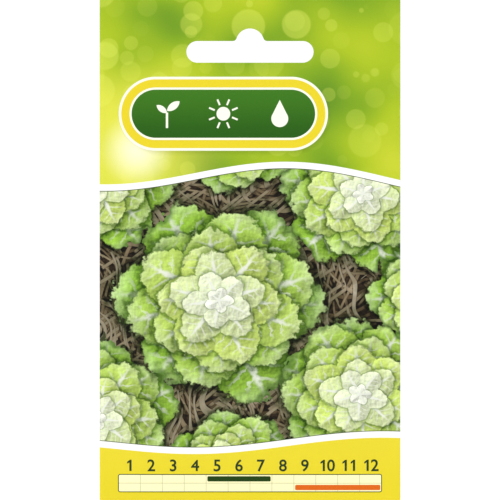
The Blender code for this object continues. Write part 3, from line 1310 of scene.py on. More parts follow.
@dataclass(frozen=True)
class BackPrint:
    """The back of the packet: the header, hints beside bare plates, the months and a bed, in millimetres."""

    bottom: float
    calendar: Calendar = Calendar(left=-43.5, pitch=6.3, base=43.5, row=2.8, digit_height=2.7)
    foliage: SunlitGreen = SunlitGreen(30.0, 152.0)
    header_edge: Wave = Wave(131.0, 2.6, 122.0, 2.4, 0.01)
    hints: tuple[Pictogram, ...] = (Pictogram.SPROUT, Pictogram.SUN, Pictogram.DROP, Pictogram.WARMTH)
    hint_across: float = -37.0
    hint_top: float = 117.5
    hint_pitch: float = 15.6
    badge: float = 6.2  # its radius
    badge_line: float = 0.7  # from its edge to the white line in it
    plate_half: tuple[float, float] = (29.5, 6.2)
    plate_corner: float = 1.6
    plate_across: float = 2.5
    bed_middle: tuple[float, float] = (-20.0, 24.5)
    bed_half: tuple[float, float] = (23.5, 2.6)
    bed_corner: float = 1.2
    bed_margin: float = 2.5  # at each end, without plants
    plant_pitch: float = 14.0
    plant_lift: float = 6.0
    box_middle: tuple[float, float] = (20.0, 28.0)
    box_half: tuple[float, float] = (12.0, 8.5)
    box_corner: float = 0.8
    ground: tuple = srgb(232, 240, 178)
    ground_light: tuple = srgb(250, 250, 226)
    white: tuple = srgb(255, 255, 250)
    ink: tuple = srgb(28, 92, 38)
    rule: tuple = srgb(146, 182, 80)
    soil: tuple = srgb(122, 84, 48)
    foot: tuple = FOOT_YELLOW

    def material(self) -> bpy.types.Material:
        """Makes the varnished back print, read from behind.

        Returns:
            The material.
        """
        back = Print.on_panel("back_print", self.bottom, self.ground_light, facing=-1)
        back.lay(back.up.rise(20.0, 130.0), self.ground)
        self._lay_hints(back)
        self.calendar.paint(back)
        self._lay_bed(back)
        box = back.bench.plate(*back.off(*self.box_middle), *self.box_half, self.box_corner)
        back.lay(box.filled(), self.white)
        back.lay(box.inside(0.16), self.ink)
        above_header_edge = self.header_edge.above(back)
        back.lay(above_header_edge.rise(-1.4, -1.2), self.white)
        back.lay(above_header_edge.rise(0.4, 0.6), self.foliage.colour(back))
        back.lay(back.up.fall(15.7, 15.9), self.foot)
        return CoatedPaper().dress(back)

    def _lay_hints(self, picture: Print) -> None:
        """Lays the badges with the pictograms, and a bare plate with a pale rim beside each.

        Args:
            picture: The print.
        """
        bench = picture.bench
        for number, hint in enumerate(self.hints):
            level = self.hint_top - self.hint_pitch * number
            off_plate = picture.off(self.plate_across, level)
            plate = bench.plate(*off_plate, *self.plate_half, self.plate_corner)
            picture.lay(plate.filled(), self.white)
            picture.lay(plate.inside(0.14), self.rule)
            x, y = picture.off(self.hint_across, level)
            badge = bench.length(x, y)
            picture.lay(badge.fall(self.badge - 0.05, self.badge + 0.05), self.ink)
            picture.lay((badge - self.badge + self.badge_line).inside(0.14), self.white)
            picture.lay(hint.mask(x, y), self.white)

    def _lay_bed(self, picture: Print) -> None:
        """Lays a bed with a row of sprouts at their distance.

        Args:
            picture: The print.
        """
        x, y = picture.off(*self.bed_middle)
        soil = picture.bench.plate(x, y, *self.bed_half, self.bed_corner)
        picture.lay(soil.filled(), self.soil)
        cell = (x / self.plant_pitch + 0.5) % 1.0 - 0.5
        plants = Pictogram.SPROUT.mask(cell * self.plant_pitch, y - self.plant_lift)
        picture.lay(plants * x.inside(self.bed_half[0] - self.bed_margin), self.ink)


@dataclass(frozen=True)
class FlapPrint:
    """A flap, printed with the plain colours that run on from the panel beside it, in millimetres."""

    name: str
    bottom: float
    foot_height: float
    dots: tuple[tuple, ...] = ()
    dot_across: float = 30.0
    dot_up: float = 11.0
    dot_pitch: float = 3.0
    dot_radius: float = 0.9
    white_line: float = 2.0
    foot: tuple = FOOT_YELLOW
    low: tuple = srgb(126, 166, 40)
    high: tuple = srgb(172, 200, 48)
    white: tuple = srgb(255, 255, 250)

    def material(self) -> bpy.types.Material:
        """Makes the flap's varnished print, with the printer's colour dots if it has any.

        Returns:
            The material.
        """
        flap = Print.on_panel(self.name, self.bottom, self.low, facing=-1)
        flap.lay(flap.up.rise(self.foot_height, 150.0), self.high)
        line_top = self.foot_height + self.white_line
        flap.lay(flap.up.fall(line_top - 0.1, line_top + 0.1), self.white)
        flap.lay(flap.up.fall(self.foot_height - 0.1, self.foot_height + 0.1), self.foot)
        for number, ink in enumerate(self.dots):
            x = flap.across - self.dot_across + self.dot_pitch * number
            dot = flap.bench.length(x, flap.up - self.dot_up)
            flap.lay(dot.fall(self.dot_radius - 0.05, self.dot_radius + 0.05), ink)
        return CoatedPaper().dress(flap)


class Panel(IntEnum):
    """The faces of the folded sheet, by the numbers of their materials: the printed ones, then bare paper."""

    FRONT = 0
    BACK = 1
    SIDE_FLAP = 2
    BOTTOM_FLAP = 3
    BARE = 4


class Side(IntEnum):
    """Which way a stretch of the sheet is pushed out by what is in the envelope."""

    FRONT = -1
    FOLD = 0
    BACK = 1


def shade(target: bpy.types.Object, angle: float = 35.0) -> None:
    """Shades an object smooth, with sharp edges where faces turn by more than an angle in degrees."""
    target.data.shade_smooth()
    target.data.set_sharp_from_angle(angle=math.radians(angle))


def make_mesh(name: str, bm: bmesh.types.BMesh) -> bpy.types.Mesh:
    """Makes a mesh of a finished bmesh.

    Args:
        name: The mesh's name.
        bm: Its shape, which is freed.

    Returns:
        The mesh.
    """
    mesh = bpy.data.meshes.new(name)
    bm.to_mesh(mesh)
    bm.free()
    return mesh


def add_object(name: str, bm: bmesh.types.BMesh, materials: list[bpy.types.Material]) -> bpy.types.Object:
    """Makes an object of a finished bmesh.

    Args:
        name: The object's name.
        bm: Its shape, which is freed.
        materials: Its materials in order.

    Returns:
        The object, in the scene.
    """
    mesh = make_mesh(name, bm)
    for material in materials:
        mesh.materials.append(material)
    made = bpy.data.objects.new(name, mesh)
    bpy.context.scene.collection.objects.link(made)
    return made


def final_mesh(target: bpy.types.Object) -> bpy.types.Mesh:
    """A new mesh of what an object looks like, with its modifiers or as text."""
    graph = bpy.context.evaluated_depsgraph_get()
    return bpy.data.meshes.new_from_object(target.evaluated_get(graph))


def bake_modifiers(target: bpy.types.Object) -> None:
    """Puts what an object's modifiers make in place of its mesh.

    Args:
        target: The object, which has no modifiers afterwards.
    """
    mesh = final_mesh(target)
    target.modifiers.clear()
    target.data = mesh


def thicken(target: bpy.types.Object, thickness: float, inside: int = 0) -> None:
    """Gives an open sheet its thickness, half on each side.

    Args:
        target: The sheet.
        thickness: How thick it gets.
        inside: How many slots further on the material of its inner face and rim is, at most the last.
    """
    solidify = target.modifiers.new("thickness", "SOLIDIFY")
    solidify.thickness = thickness
    solidify.offset = 0.0
    solidify.use_even_offset = True
    solidify.material_offset = inside
    solidify.material_offset_rim = inside
    bake_modifiers(target)


def add_grid(bm: bmesh.types.BMesh, rows: list[list], panels: list[int]) -> None:
    """Adds quads between rows of vertices.

    Args:
        bm: Where they are added.
        rows: The rows, all of one length.
        panels: The material number of each column of quads.
    """
    for low, high in zip(rows, rows[1:]):
        for i, panel in enumerate(panels):
            face = bm.faces.new((low[i], low[i + 1], high[i + 1], high[i]))
            face.material_index = panel


def extrude(bm: bmesh.types.BMesh, along: tuple[float, float, float]) -> None:
    """Makes a closed slab of flat faces.

    Args:
        bm: The faces.
        along: The slab's thickness and the way that it grows.
    """
    moved = bmesh.ops.extrude_face_region(bm, geom=bm.faces)["geom"]
    corners = [element for element in moved if isinstance(element, bmesh.types.BMVert)]
    bmesh.ops.translate(bm, vec=along, verts=corners)
    bmesh.ops.recalc_face_normals(bm, faces=bm.faces)


@dataclass(frozen=True)
class Fade:
    """A soft limit: 1 well before it and 0 past it."""

    limit: float
    width: float

    def at(self, place: float) -> float:
        """How much is left at a place."""
        return ease((self.limit - place) / self.width)


@dataclass(frozen=True)
class Ridge:
    """A rounded ridge along a line: 1 on it, and next to nothing two widths off."""

    middle: float
    width: float

    def at(self, place: float) -> float:
        """How high the ridge is at a place."""
        return math.exp(-(((place - self.middle) / self.width) ** 2))


@dataclass(frozen=True)
class Column:
    """One upright line of the folded sheet, and the panel of the strip that starts at it."""

    x: float
    y: float
    side: Side
    panel: Panel


@dataclass
class Envelope:
    """The printed sheet: a flat tube with a seam on its back, a bottom flap, and a peg slot in its header."""

    low: Vector
    high: Vector
    paper: float = 0.16 * MM
    layer_pitch: float = 0.30 * MM  # from one folded layer to the next, middle to middle
    header: float = 26.5 * MM  # the depth of the glued strip along the top edge
    side_flap: float = 12 * MM
    bottom_flap: float = 15.9 * MM
    flap_taper: float = 4 * MM  # how much narrower the bottom flap's end is on each side
    back_edge_gap: float = 2 * MM  # from the back panel's free edge to the left fold
    front_bulge: float = 1.7 * MM
    back_bulge: float = 1.5 * MM
    side_ramp: float = 24 * MM  # how far in from an edge the full bulge is reached
    header_ramp: float = 77 * MM
    bottom_ramp: float = 14 * MM
    seed_bumps: Relief = Relief(0.05 * MM, 230, 230, 7.7)
    seeds_aside: Fade = Fade(18 * MM, 8 * MM)  # how far from the middle line the seeds show
    seeds_up: Fade = Fade(52 * MM, 14 * MM)  # and how far up the packet
    rim_height: float = 0.07 * MM  # how far the sachet's side edges push the paper out
    sachet_edge: Ridge = Ridge(35 * MM, 1.6 * MM)
    sachet_up: Fade = Fade(104 * MM, 12 * MM)
    softness: Relief = Relief(0.10 * MM, 48, 40, 1.3)
    puckers: Relief = Relief(0.10 * MM, 25, 95, 5.5)
    pucker_line: Ridge = Ridge(9 * MM, 6 * MM)  # how far in from the folds the puckers lie
    cell: float = 1.25 * MM
    fold_steps: int = 8

    def __post_init__(self) -> None:
        """Works out the sheet's edges and layers from the solid's box."""
        self.half_width = (self.high.x - self.low.x) / 2
        self.bottom = self.low.z
        self.top = self.high.z
        self.front_layer = -self.layer_pitch / 2
        self.back_layer = self.layer_pitch / 2
        self.side_flap_layer = self.layer_pitch * 1.5
        self.bottom_flap_layer = self.layer_pitch * 2.5

    def fullness(self, x: float, z: float) -> float:
        """How full the envelope is at a place.

        Args:
            x: Metres to the right of the middle line.
            z: Metres above the peg.

        Returns:
            0 along the edges to 1 over the seeds.
        """
        across = ease((self.half_width - abs(x)) / self.side_ramp)
        below_header = ease((self.top - self.header - z) / self.header_ramp)
        above_bottom = ease((z - self.bottom) / self.bottom_ramp)
        return across * below_header * above_bottom

    def surface(self, x: float, y: float, z: float, side: Side) -> Vector:
        """A point of the sheet's middle, pushed out by the filling, with the paper's own unevenness.

        Args:
            x: Metres to the right of the middle line.
            y: The point's depth before it is pushed out.
            z: Metres above the peg.
            side: Which way it is pushed.

        Returns:
            The point.
        """
        depth = {Side.FRONT: -self.front_bulge, Side.FOLD: 0.0, Side.BACK: self.back_bulge}[side]
        full = self.fullness(x, z)
        return Vector((x, y + depth * full + SHARED_WARP.at(x, z) + self._dents(x, z, side, full), z))

    def _dents(self, x: float, z: float, side: Side, full: float) -> float:
        """What shows through a panel: the sachet's edge, the seeds' bumps and the puckers beside the folds.

        Args:
            x: Metres to the right of the middle line.
            z: Metres above the peg.
            side: The panel's side.
            full: How full the envelope is there.

        Returns:
            How far the paper is moved along Y.
        """
        if side == Side.FOLD:
            return 0.0
        aside, height = abs(x), z - self.bottom
        seeds = self.seed_bumps.at(x, z, side) * self.seeds_aside.at(aside) * self.seeds_up.at(height)
        rim = self.rim_height * self.sachet_edge.at(aside) * self.sachet_up.at(height)
        soft = self.softness.at(x, z, side)
        pucker = self.puckers.at(x, z, side) * self.pucker_line.at(self.half_width - aside)
        loose, bulging = ease(full * 6), ease((full - 0.02) * 9)  # nothing shows where the sheet lies flat
        return side * ((seeds + rim + soft) * loose + pucker * bulging)

    def _columns(self) -> list[Column]:
        """Works out the sheet's upright lines.

        Returns:
            The columns in order round the packet, from the side flap's edge to the back panel's.
        """
        left_radius = (self.side_flap_layer - self.front_layer) / 2
        right_radius = (self.back_layer - self.front_layer) / 2
        left = -self.half_width + self.paper / 2 + left_radius
        right = self.half_width - self.paper / 2 - right_radius
        lines = spaced(left, right, round((right - left) / self.cell))
        closest = self.cell / 3  # how near an edge a line may lie
        flap_edge = -self.half_width + self.side_flap
        flap_lines = [flap_edge, *(x for x in reversed(lines) if x < flap_edge - closest)]
        made = [Column(x, self.side_flap_layer, Side.BACK, Panel.SIDE_FLAP) for x in flap_lines]
        for turn in spaced(math.pi / 2, 3 * math.pi / 2, self.fold_steps)[1:-1]:
            panel = Panel.SIDE_FLAP if turn < math.pi else Panel.FRONT
            x = left + left_radius * math.cos(turn)
            y = self.front_layer + left_radius * (1 + math.sin(turn))
            made.append(Column(x, y, Side.FOLD, panel))
        made += [Column(x, self.front_layer, Side.FRONT, Panel.FRONT) for x in lines]
        for turn in spaced(-math.pi / 2, math.pi / 2, self.fold_steps)[1:-1]:
            panel = Panel.FRONT if turn < 0 else Panel.BACK
            x = right + right_radius * math.cos(turn)
            made.append(Column(x, right_radius * math.sin(turn), Side.FOLD, panel))
        back_edge = -self.half_width + self.back_edge_gap
        back_lines = [*(x for x in reversed(lines) if x > back_edge + closest), back_edge]
        return made + [Column(x, self.back_layer, Side.BACK, Panel.BACK) for x in back_lines]

    def _add_bottom_flap(
        self, bm: bmesh.types.BMesh, edge: list, columns: list[Column], levels: list[float]
    ) -> None:
        """Folds the front's bottom edge round behind the back, and up it as a flap that narrows.

        Args:
            bm: The sheet.
            edge: The front's lowest row of vertices, out to the last before each side fold's outermost.
            columns: Their columns.
            levels: The heights of the flap's rows, the fold's centre first.
        """
        radius = (self.bottom_flap_layer - self.front_layer) / 2
        middle = self.front_layer + radius
        rows = [edge]
        for turn in spaced(0.0, math.pi, self.fold_steps)[1:-1]:
            row = []
            for column in columns:
                reach = middle - column.y
                z = levels[0] - reach * math.sin(turn)
                y = middle - reach * math.cos(turn) + SHARED_WARP.at(column.x, z)
                row.append(bm.verts.new((column.x, y, z)))
            rows.append(row)
        corner = self.half_width - 2 * self.flap_taper  # what is outside it is squeezed, at last by half
        for i, z in enumerate(levels):
            squeeze = 0.5 * max(0, i - 1) / (len(levels) - 2)
            row = []
            for column in columns:
                x = column.x - math.copysign(max(0.0, abs(column.x) - corner) * squeeze, column.x)
                y = 2 * middle - column.y if i == 0 else self.bottom_flap_layer
                row.append(bm.verts.new(self.surface(x, y, z, Side.BACK)))
            rows.append(row)
        add_grid(bm, rows[::-1], [Panel.BOTTOM_FLAP] * (len(edge) - 1))

    def build(self, materials: list[bpy.types.Material]) -> bpy.types.Object:
        """Folds the sheet, gives it its thickness and cuts the peg slot.

        Args:
            materials: One for each Panel, in order.

        Returns:
            The envelope.
        """
        bm = bmesh.new()
        columns = self._columns()
        fold_height = self.bottom + self.paper / 2 + (self.bottom_flap_layer - self.front_layer) / 2
        levels = spaced(fold_height, self.top, round((self.top - fold_height) / self.cell))
        rows = [
            [bm.verts.new(self.surface(column.x, column.y, z, column.side)) for column in columns]
            for z in levels
        ]
        add_grid(bm, rows, [column.panel for column in columns[:-1]])
        outer = sorted(range(len(columns)), key=lambda i: columns[i].x)
        front = slice(outer[0] + 1, outer[-1])
        flap_levels = [z for z in levels if z < self.bottom + self.bottom_flap]
        self._add_bottom_flap(bm, rows[0][front], columns[front], flap_levels)
        made = add_object("paper_envelope", bm, materials)
        thicken(made, self.paper, Panel.BARE)
        PegSlot().cut(made, materials[Panel.BARE])
        shade(made)
        return made


@dataclass(frozen=True)
class PegSlot:
    """The hanging slot: a bar with round ends under a round hump, whose top is at the origin."""

    width: float = 40.6 * MM
    hump_radius: float = 4.5 * MM
    bar_top: float = -4.0 * MM
    bar_bottom: float = -10.9 * MM
    fillet: float = 1.3 * MM
    hump_steps: int = 32
    fillet_steps: int = 10
    end_steps: int = 24
    cutter_reach: float = 4 * MM  # how far the cutter stands out of the sheet on each side

    @staticmethod
    def _arc(
        x: float, z: float, radius: float, first: float, last: float, steps: int
    ) -> list[tuple[float, float]]:
        """Points of an arc round a centre, between two angles in degrees."""
        turns = spaced(math.radians(first), math.radians(last), steps)
        return [(x + radius * math.cos(turn), z + radius * math.sin(turn)) for turn in turns]

    def outline(self) -> list[tuple[float, float]]:
        """The slot's outline.

        Returns:
            Its points, anticlockwise from the foot of the hump's right side.
        """
        fillet_height = self.bar_top + self.fillet
        reach = self.hump_radius + self.fillet
        rise = fillet_height + self.hump_radius
        fillet_x = math.sqrt(reach**2 - rise**2)
        foot = math.degrees(math.atan2(rise, fillet_x))
        end_radius = (self.bar_top - self.bar_bottom) / 2
        end_height = (self.bar_top + self.bar_bottom) / 2
        end_x = self.width / 2 - end_radius
        return (
            self._arc(0, -self.hump_radius, self.hump_radius, foot, 180 - foot, self.hump_steps)
            + self._arc(-fillet_x, fillet_height, self.fillet, -foot, -90, self.fillet_steps)[1:]
            + self._arc(-end_x, end_height, end_radius, 90, 270, self.end_steps)
            + self._arc(end_x, end_height, end_radius, -90, 90, self.end_steps)
            + self._arc(fillet_x, fillet_height, self.fillet, -90, -180 + foot, self.fillet_steps)[:-1]
        )

    def cut(self, target: bpy.types.Object, edge_material: bpy.types.Material) -> None:
        """Cuts the slot through a sheet.

        Args:
            target: The sheet.
            edge_material: The material of the cut edges.
        """
        bm = bmesh.new()
        bm.faces.new([bm.verts.new((x, -self.cutter_reach, z)) for x, z in self.outline()])
        extrude(bm, (0, 2 * self.cutter_reach, 0))
        cutter = add_object("slot_cutter", bm, [edge_material])
        punch = target.modifiers.new("peg_slot", "BOOLEAN")
        punch.operation = "DIFFERENCE"
        punch.object = cutter
        punch.material_mode = "TRANSFER"
        bake_modifiers(target)
        bpy.data.objects.remove(cutter)


@dataclass(frozen=True)
class MonthNumbers:
    """The numbers over a calendar's months, as a thin film of ink that follows the paper."""

    calendar: Calendar
    side: Side
    proud: float = 0.03 * MM  # how far the film stands out of the paper
    sunk: float = 0.05 * MM  # and how deep it reaches into it
    cut_pitch: float = 0.9  # print millimetres between the cuts that let the film bend with the paper
    finest: float = 0.004  # print millimetres, the shortest edge that is kept
    font_height: float = 0.682  # a digit's height; this and the rest are shares of the font's size
    digit_pitch: float = 0.50
    boldness: float = 0.016
    half_slab: float = 1.0  # how far a digit's slab reaches from its plane on each side
    weld: float = 0.0001  # how near each other a slab's points are when they become one

    def build(self, name: str, envelope: Envelope, ink: bpy.types.Material) -> bpy.types.Object:
        """Sets the numbers and lays them on the paper.

        Args:
            name: The piece's name.
            envelope: The sheet that they are printed on.
            ink: Their material.

        Returns:
            The numbers, in one piece.
        """
        bm = bmesh.new()
        for month in range(1, self.calendar.months + 1):
            digits = str(month)
            for place, digit in enumerate(digits):
                aside = (place - (len(digits) - 1) / 2) * self.digit_pitch
                self._set_digit(bm, digit, self.calendar.middle(month), aside)
        foot, height = self.calendar.digit_foot, self.calendar.digit_height
        for level in spaced(foot, foot + height, round(height / self.cut_pitch))[1:-1]:
            everything = [*bm.verts, *bm.edges, *bm.faces]
            bmesh.ops.bisect_plane(bm, geom=everything, plane_co=(0, level, 0), plane_no=(0, 1, 0))
        bmesh.ops.dissolve_degenerate(bm, dist=self.finest, edges=bm.edges)
        bmesh.ops.triangulate(bm, faces=bm.faces)
        bmesh.ops.recalc_face_normals(bm, faces=bm.faces)
        layer = envelope.front_layer if self.side == Side.FRONT else envelope.back_layer
        for vertex in bm.verts:
            x = -self.side * vertex.co.x * MM
            z = envelope.bottom + vertex.co.y * MM
            lift = envelope.paper / 2 + (self.proud if vertex.co.z > 0 else -self.sunk)
            vertex.co = envelope.surface(x, layer + self.side * lift, z, self.side)
        made = add_object(name, bm, [ink])
        shade(made)
        return made

    def _set_digit(self, bm: bmesh.types.BMesh, digit: str, middle: float, aside: float) -> None:
        """Adds a digit to the flat film, which is laid out in print millimetres.

        Args:
            bm: The film.
            digit: Which digit.
            middle: The place of its month across the print.
            aside: How far it lies from that place, as a share of the font's size.
        """
        glyph = self._drawn_digit(digit) if digit in "14" else self._font_digit(digit)
        size = self.calendar.digit_height / self.font_height
        foot = self.calendar.digit_foot
        centre = (min(v.co.x for v in glyph.vertices) + max(v.co.x for v in glyph.vertices)) / 2
        shift = Matrix.Translation((aside - centre, 0.0, 0.0))
        glyph.transform(Matrix.Translation((middle, foot, 0.0)) @ Matrix.Scale(size, 4) @ shift)
        bm.from_mesh(glyph)
        bpy.data.meshes.remove(glyph)

    def _font_digit(self, digit: str) -> bpy.types.Mesh:
        """A bold digit of the built-in font as a closed slab.

        Args:
            digit: Which digit.

        Returns:
            The slab, upright in the plane of X and Y.
        """
        text = bpy.data.curves.new("digit", "FONT")
        text.body = digit
        text.offset = self.boldness
        text.extrude = self.half_slab
        text.resolution_u = 4
        holder = bpy.data.objects.new("digit", text)
        bpy.context.scene.collection.objects.link(holder)
        mesh = final_mesh(holder)
        bpy.data.objects.remove(holder)
        bm = bmesh.new()
        bm.from_mesh(mesh)
        bpy.data.meshes.remove(mesh)
        bmesh.ops.remove_doubles(bm, verts=bm.verts, dist=self.weld)
        return make_mesh("font_digit", bm)

    def _drawn_digit(self, digit: str) -> bpy.types.Mesh:
        """A one or a four of clean straight strokes, as a closed slab like the font's digits.

        Args:
            digit: Which of the two.

        Returns:
            The slab, upright in the plane of X and Y.
        """
        half, top = 0.05 + self.boldness, self.font_height
        flag = [(-0.03, top), (-0.20, 0.55), (-0.20, 0.44), (-half, 0.52)]
        one = [(-half, 0), (half, 0), (half, top), *flag]
        bar = [(0.41, 0.20), (0.49, 0.20), (0.49, 0.32), (0.41, 0.32)]
        slant = [(0.41, top), (0.34, top), (0.0, 0.27)]
        four = [(0.0, 0.20), (0.28, 0.20), (0.28, 0), (0.41, 0), *bar, *slant]
        hole = [(0.17, 0.32), (0.28, 0.32), (0.28, 0.453)]
        bm = bmesh.new()
        for outline in {"1": [one], "4": [four, hole]}[digit]:
            corners = [bm.verts.new((x, y, -self.half_slab)) for x, y in outline]
            for corner, following in zip(corners, corners[1:] + corners[:1]):
                bm.edges.new((corner, following))
        bmesh.ops.triangle_fill(bm, use_beauty=True, edges=bm.edges)
        extrude(bm, (0, 0, 2 * self.half_slab))
        return make_mesh("drawn_digit", bm)


@dataclass
class Sachet:
    """The foil sachet: two webs sealed along their rims, which stand out over the seeds."""

    low: Vector
    high: Vector
    seal: float = 7 * MM
    foil: float = 0.12 * MM
    seam_gap: float = 0.10 * MM
    ramp: float = 9 * MM  # how far in from the seal the pocket's full depth is reached
    top_ramp: float = 47 * MM
    front_depth: float = 1.25 * MM
    back_depth: float = 1.1 * MM
    creases: Relief = Relief(0.05 * MM, 160, 110, 4.2)
    cell: float = 1.0 * MM

    def fullness(self, x: float, z: float) -> float:
        """How full the sachet is at a place.

        Args:
            x: Metres to the right of the middle line.
            z: Metres above the peg.

        Returns:
            0 on the sealed rim to 1 over the seeds.
        """
        across = ease((self.high.x - self.seal - abs(x)) / self.ramp)
        below_top = ease((self.high.z - self.seal - z) / self.top_ramp)
        above_bottom = ease((z - self.low.z - self.seal) / self.ramp)
        return across * below_top * above_bottom

    def web(self, name: str, side: Side, foil: bpy.types.Material) -> bpy.types.Object:
        """Builds one web, creased where it is loose.

        Args:
            name: The piece's name.
            side: The side of the sachet that it is on.
            foil: Its material.

        Returns:
            The web.
        """
        depth = self.front_depth if side == Side.FRONT else self.back_depth
        offset = (self.seam_gap + self.foil) / 2
        bm = bmesh.new()
        rows = []
        for z in spaced(self.low.z, self.high.z, round((self.high.z - self.low.z) / self.cell)):
            row = []
            for x in spaced(self.low.x, self.high.x, round((self.high.x - self.low.x) / self.cell)):
                full = self.fullness(x, z)
                creased = self.creases.at(x, z, side) * ease(full * 5)  # flat on the seal
                out = offset + depth * full + creased
                row.append(bm.verts.new((x, side * out + SHARED_WARP.at(x, z), z)))
            rows.append(row)
        add_grid(bm, rows, [0] * (len(rows[0]) - 1))
        if side == Side.BACK:
            bmesh.ops.reverse_faces(bm, faces=bm.faces)
        made = add_object(name, bm, [foil])
        thicken(made, self.foil)
        shade(made)
        return made


@dataclass
class SeedHeap:
    """The heap of seeds that lies low in the sachet: ribbed wedges with blunt crowns, on a flat core."""

    sachet: Sachet
    length: float = 2.6 * MM
    width: float = 1.2 * MM
    flatness: float = 0.7
    groove: float = 0.9  # a seed's radius between its ribs, as a share of that on them
    pitch: float = 1.8 * MM
    depth: float = 0.34 * MM  # from the heap's middle plane to a seed's middle
    tilt: float = 6.0  # degrees that a seed leans out of the heap's plane at most
    heap_width: float = 44 * MM
    heap_height: float = 26 * MM
    core_share: float = 0.86  # how much of the heap's width and height the seeds cover
    core_inset: float = 0.06  # how much smaller than that the core is
    core_margin: float = 0.01  # how far within it the outermost seeds' middles stay
    core_depth: float = 0.25 * MM  # half of the core's thickness
    core_columns: int = 48
    core_rows: int = 24
    lift: float = 6.5 * MM  # from the sachet's bottom seal to the heap
    room: float = 0.95 * MM  # how far the web has to stand out where a seed lies
    jitter: float = 0.15  # how far a seed strays from its place in the rows, in pitches
    draw: int = 7  # what the random draws start from
    sides: int = 10
    sharpest: float = 50.0  # degrees between faces that are still shaded smooth
    profile: tuple[tuple[float, float], ...] = (  # places along a seed, and its girth there, as shares
        (-0.50, 0.22),
        (-0.44, 0.38),
        (-0.15, 0.72),
        (0.20, 0.97),
        (0.38, 1.00),
        (0.46, 0.86),
        (0.50, 0.55),
    )

    def __post_init__(self) -> None:
        """Works out the heap's middle."""
        foot = self.sachet.low.z + self.sachet.seal + self.lift
        self.centre = Vector((0.0, 0.0, foot + self.heap_height / 2))

    def build(self, husk: bpy.types.Material, shaded_husk: bpy.types.Material) -> bpy.types.Object:
        """Heaps the seeds up on the core.

        Args:
            husk: The outer seeds' material.
            shaded_husk: The core's: a darker copy of the husk, with painted shade for the seeds that lie
                deeper between them.

        Returns:
            The heap.
        """
        bm = bmesh.new()
        share = (self.core_share - self.core_inset) / 2
        reach = (self.heap_width * share, self.core_depth, self.heap_height * share)
        shape = Matrix.Translation(self.centre) @ Matrix.Diagonal((*reach, 1.0))
        bmesh.ops.create_uvsphere(
            bm, u_segments=self.core_columns, v_segments=self.core_rows, radius=1.0, matrix=shape
        )
        # the core takes the darker husk: painted shade between the seeds
        for face in bm.faces:
            face.material_index = 1
        for place in self._places():
            self._add_seed(bm, place)
        for vertex in bm.verts:
            vertex.co.y += SHARED_WARP.at(vertex.co.x, vertex.co.z)
        made = add_object("seed_heap", bm, [husk, shaded_husk])
        shade(made, self.sharpest)
        return made

    def _places(self) -> Iterator[Matrix]:
        """Finds where the seeds lie, in shifted rows on the front and the back of the core.

        Returns:
            A matrix for each seed, with its own Z along the seed.
        """
        draw = random.Random(self.draw)
        row_pitch = self.pitch * math.sqrt(3) / 2
        rows = round(self.heap_height / row_pitch)
        across = round(self.heap_width / self.pitch)
        for side in (Side.FRONT, Side.BACK):
            room = self.sachet.front_depth if side == Side.FRONT else self.sachet.back_depth
            for i in range(rows):
                for j in range(across):
                    x = (j - (across - 1) / 2 + 0.5 * (i % 2)) * self.pitch
                    z = (i - (rows - 1) / 2) * row_pitch
                    x += draw.uniform(-self.jitter, self.jitter) * self.pitch
                    z += draw.uniform(-self.jitter, self.jitter) * self.pitch
                    tilt = draw.uniform(-1, 1) * math.radians(self.tilt)
                    turn = Euler((tilt, draw.uniform(0, math.tau), 0.0))
                    reach = math.hypot(x / self.heap_width, z / self.heap_height)
                    on_core = reach < self.core_share / 2 - self.core_margin
                    if on_core and room * self.sachet.fullness(x, self.centre.z + z) > self.room:
                        place = self.centre + Vector((x, side * self.depth, z))
                        yield Matrix.Translation(place) @ turn.to_matrix().to_4x4()

    def _add_seed(self, bm: bmesh.types.BMesh, place: Matrix) -> None:
        """Adds one seed, along its own Z, as rings of a profile with a rib at every second side.

        Args:
            bm: The heap.
            place: Where the seed lies.
        """
        rings = []
        for share, girth in self.profile:
            ring = []
            for i in range(self.sides):
                turn = math.tau * i / self.sides
                radius = self.width / 2 * girth * (1.0 if i % 2 else self.groove)
                x, y = radius * math.cos(turn), radius * math.sin(turn) * self.flatness
                ring.append(bm.verts.new(place @ Vector((x, y, share * self.length))))
            rings.append(ring)
        for low, high in zip(rings, rings[1:]):
            for i in range(self.sides):
                j = (i + 1) % self.sides
                bm.faces.new((low[i], low[j], high[j], high[i]))
        bm.faces.new(rings[0][::-1])
        bm.faces.new(rings[-1])


@dataclass(frozen=True)
class SoftSun:
    """A broad light from far away: its strength, and in degrees its spread and how it is turned."""

    name: str
    energy: float
    spread: float
    turn: tuple[float, float, float]


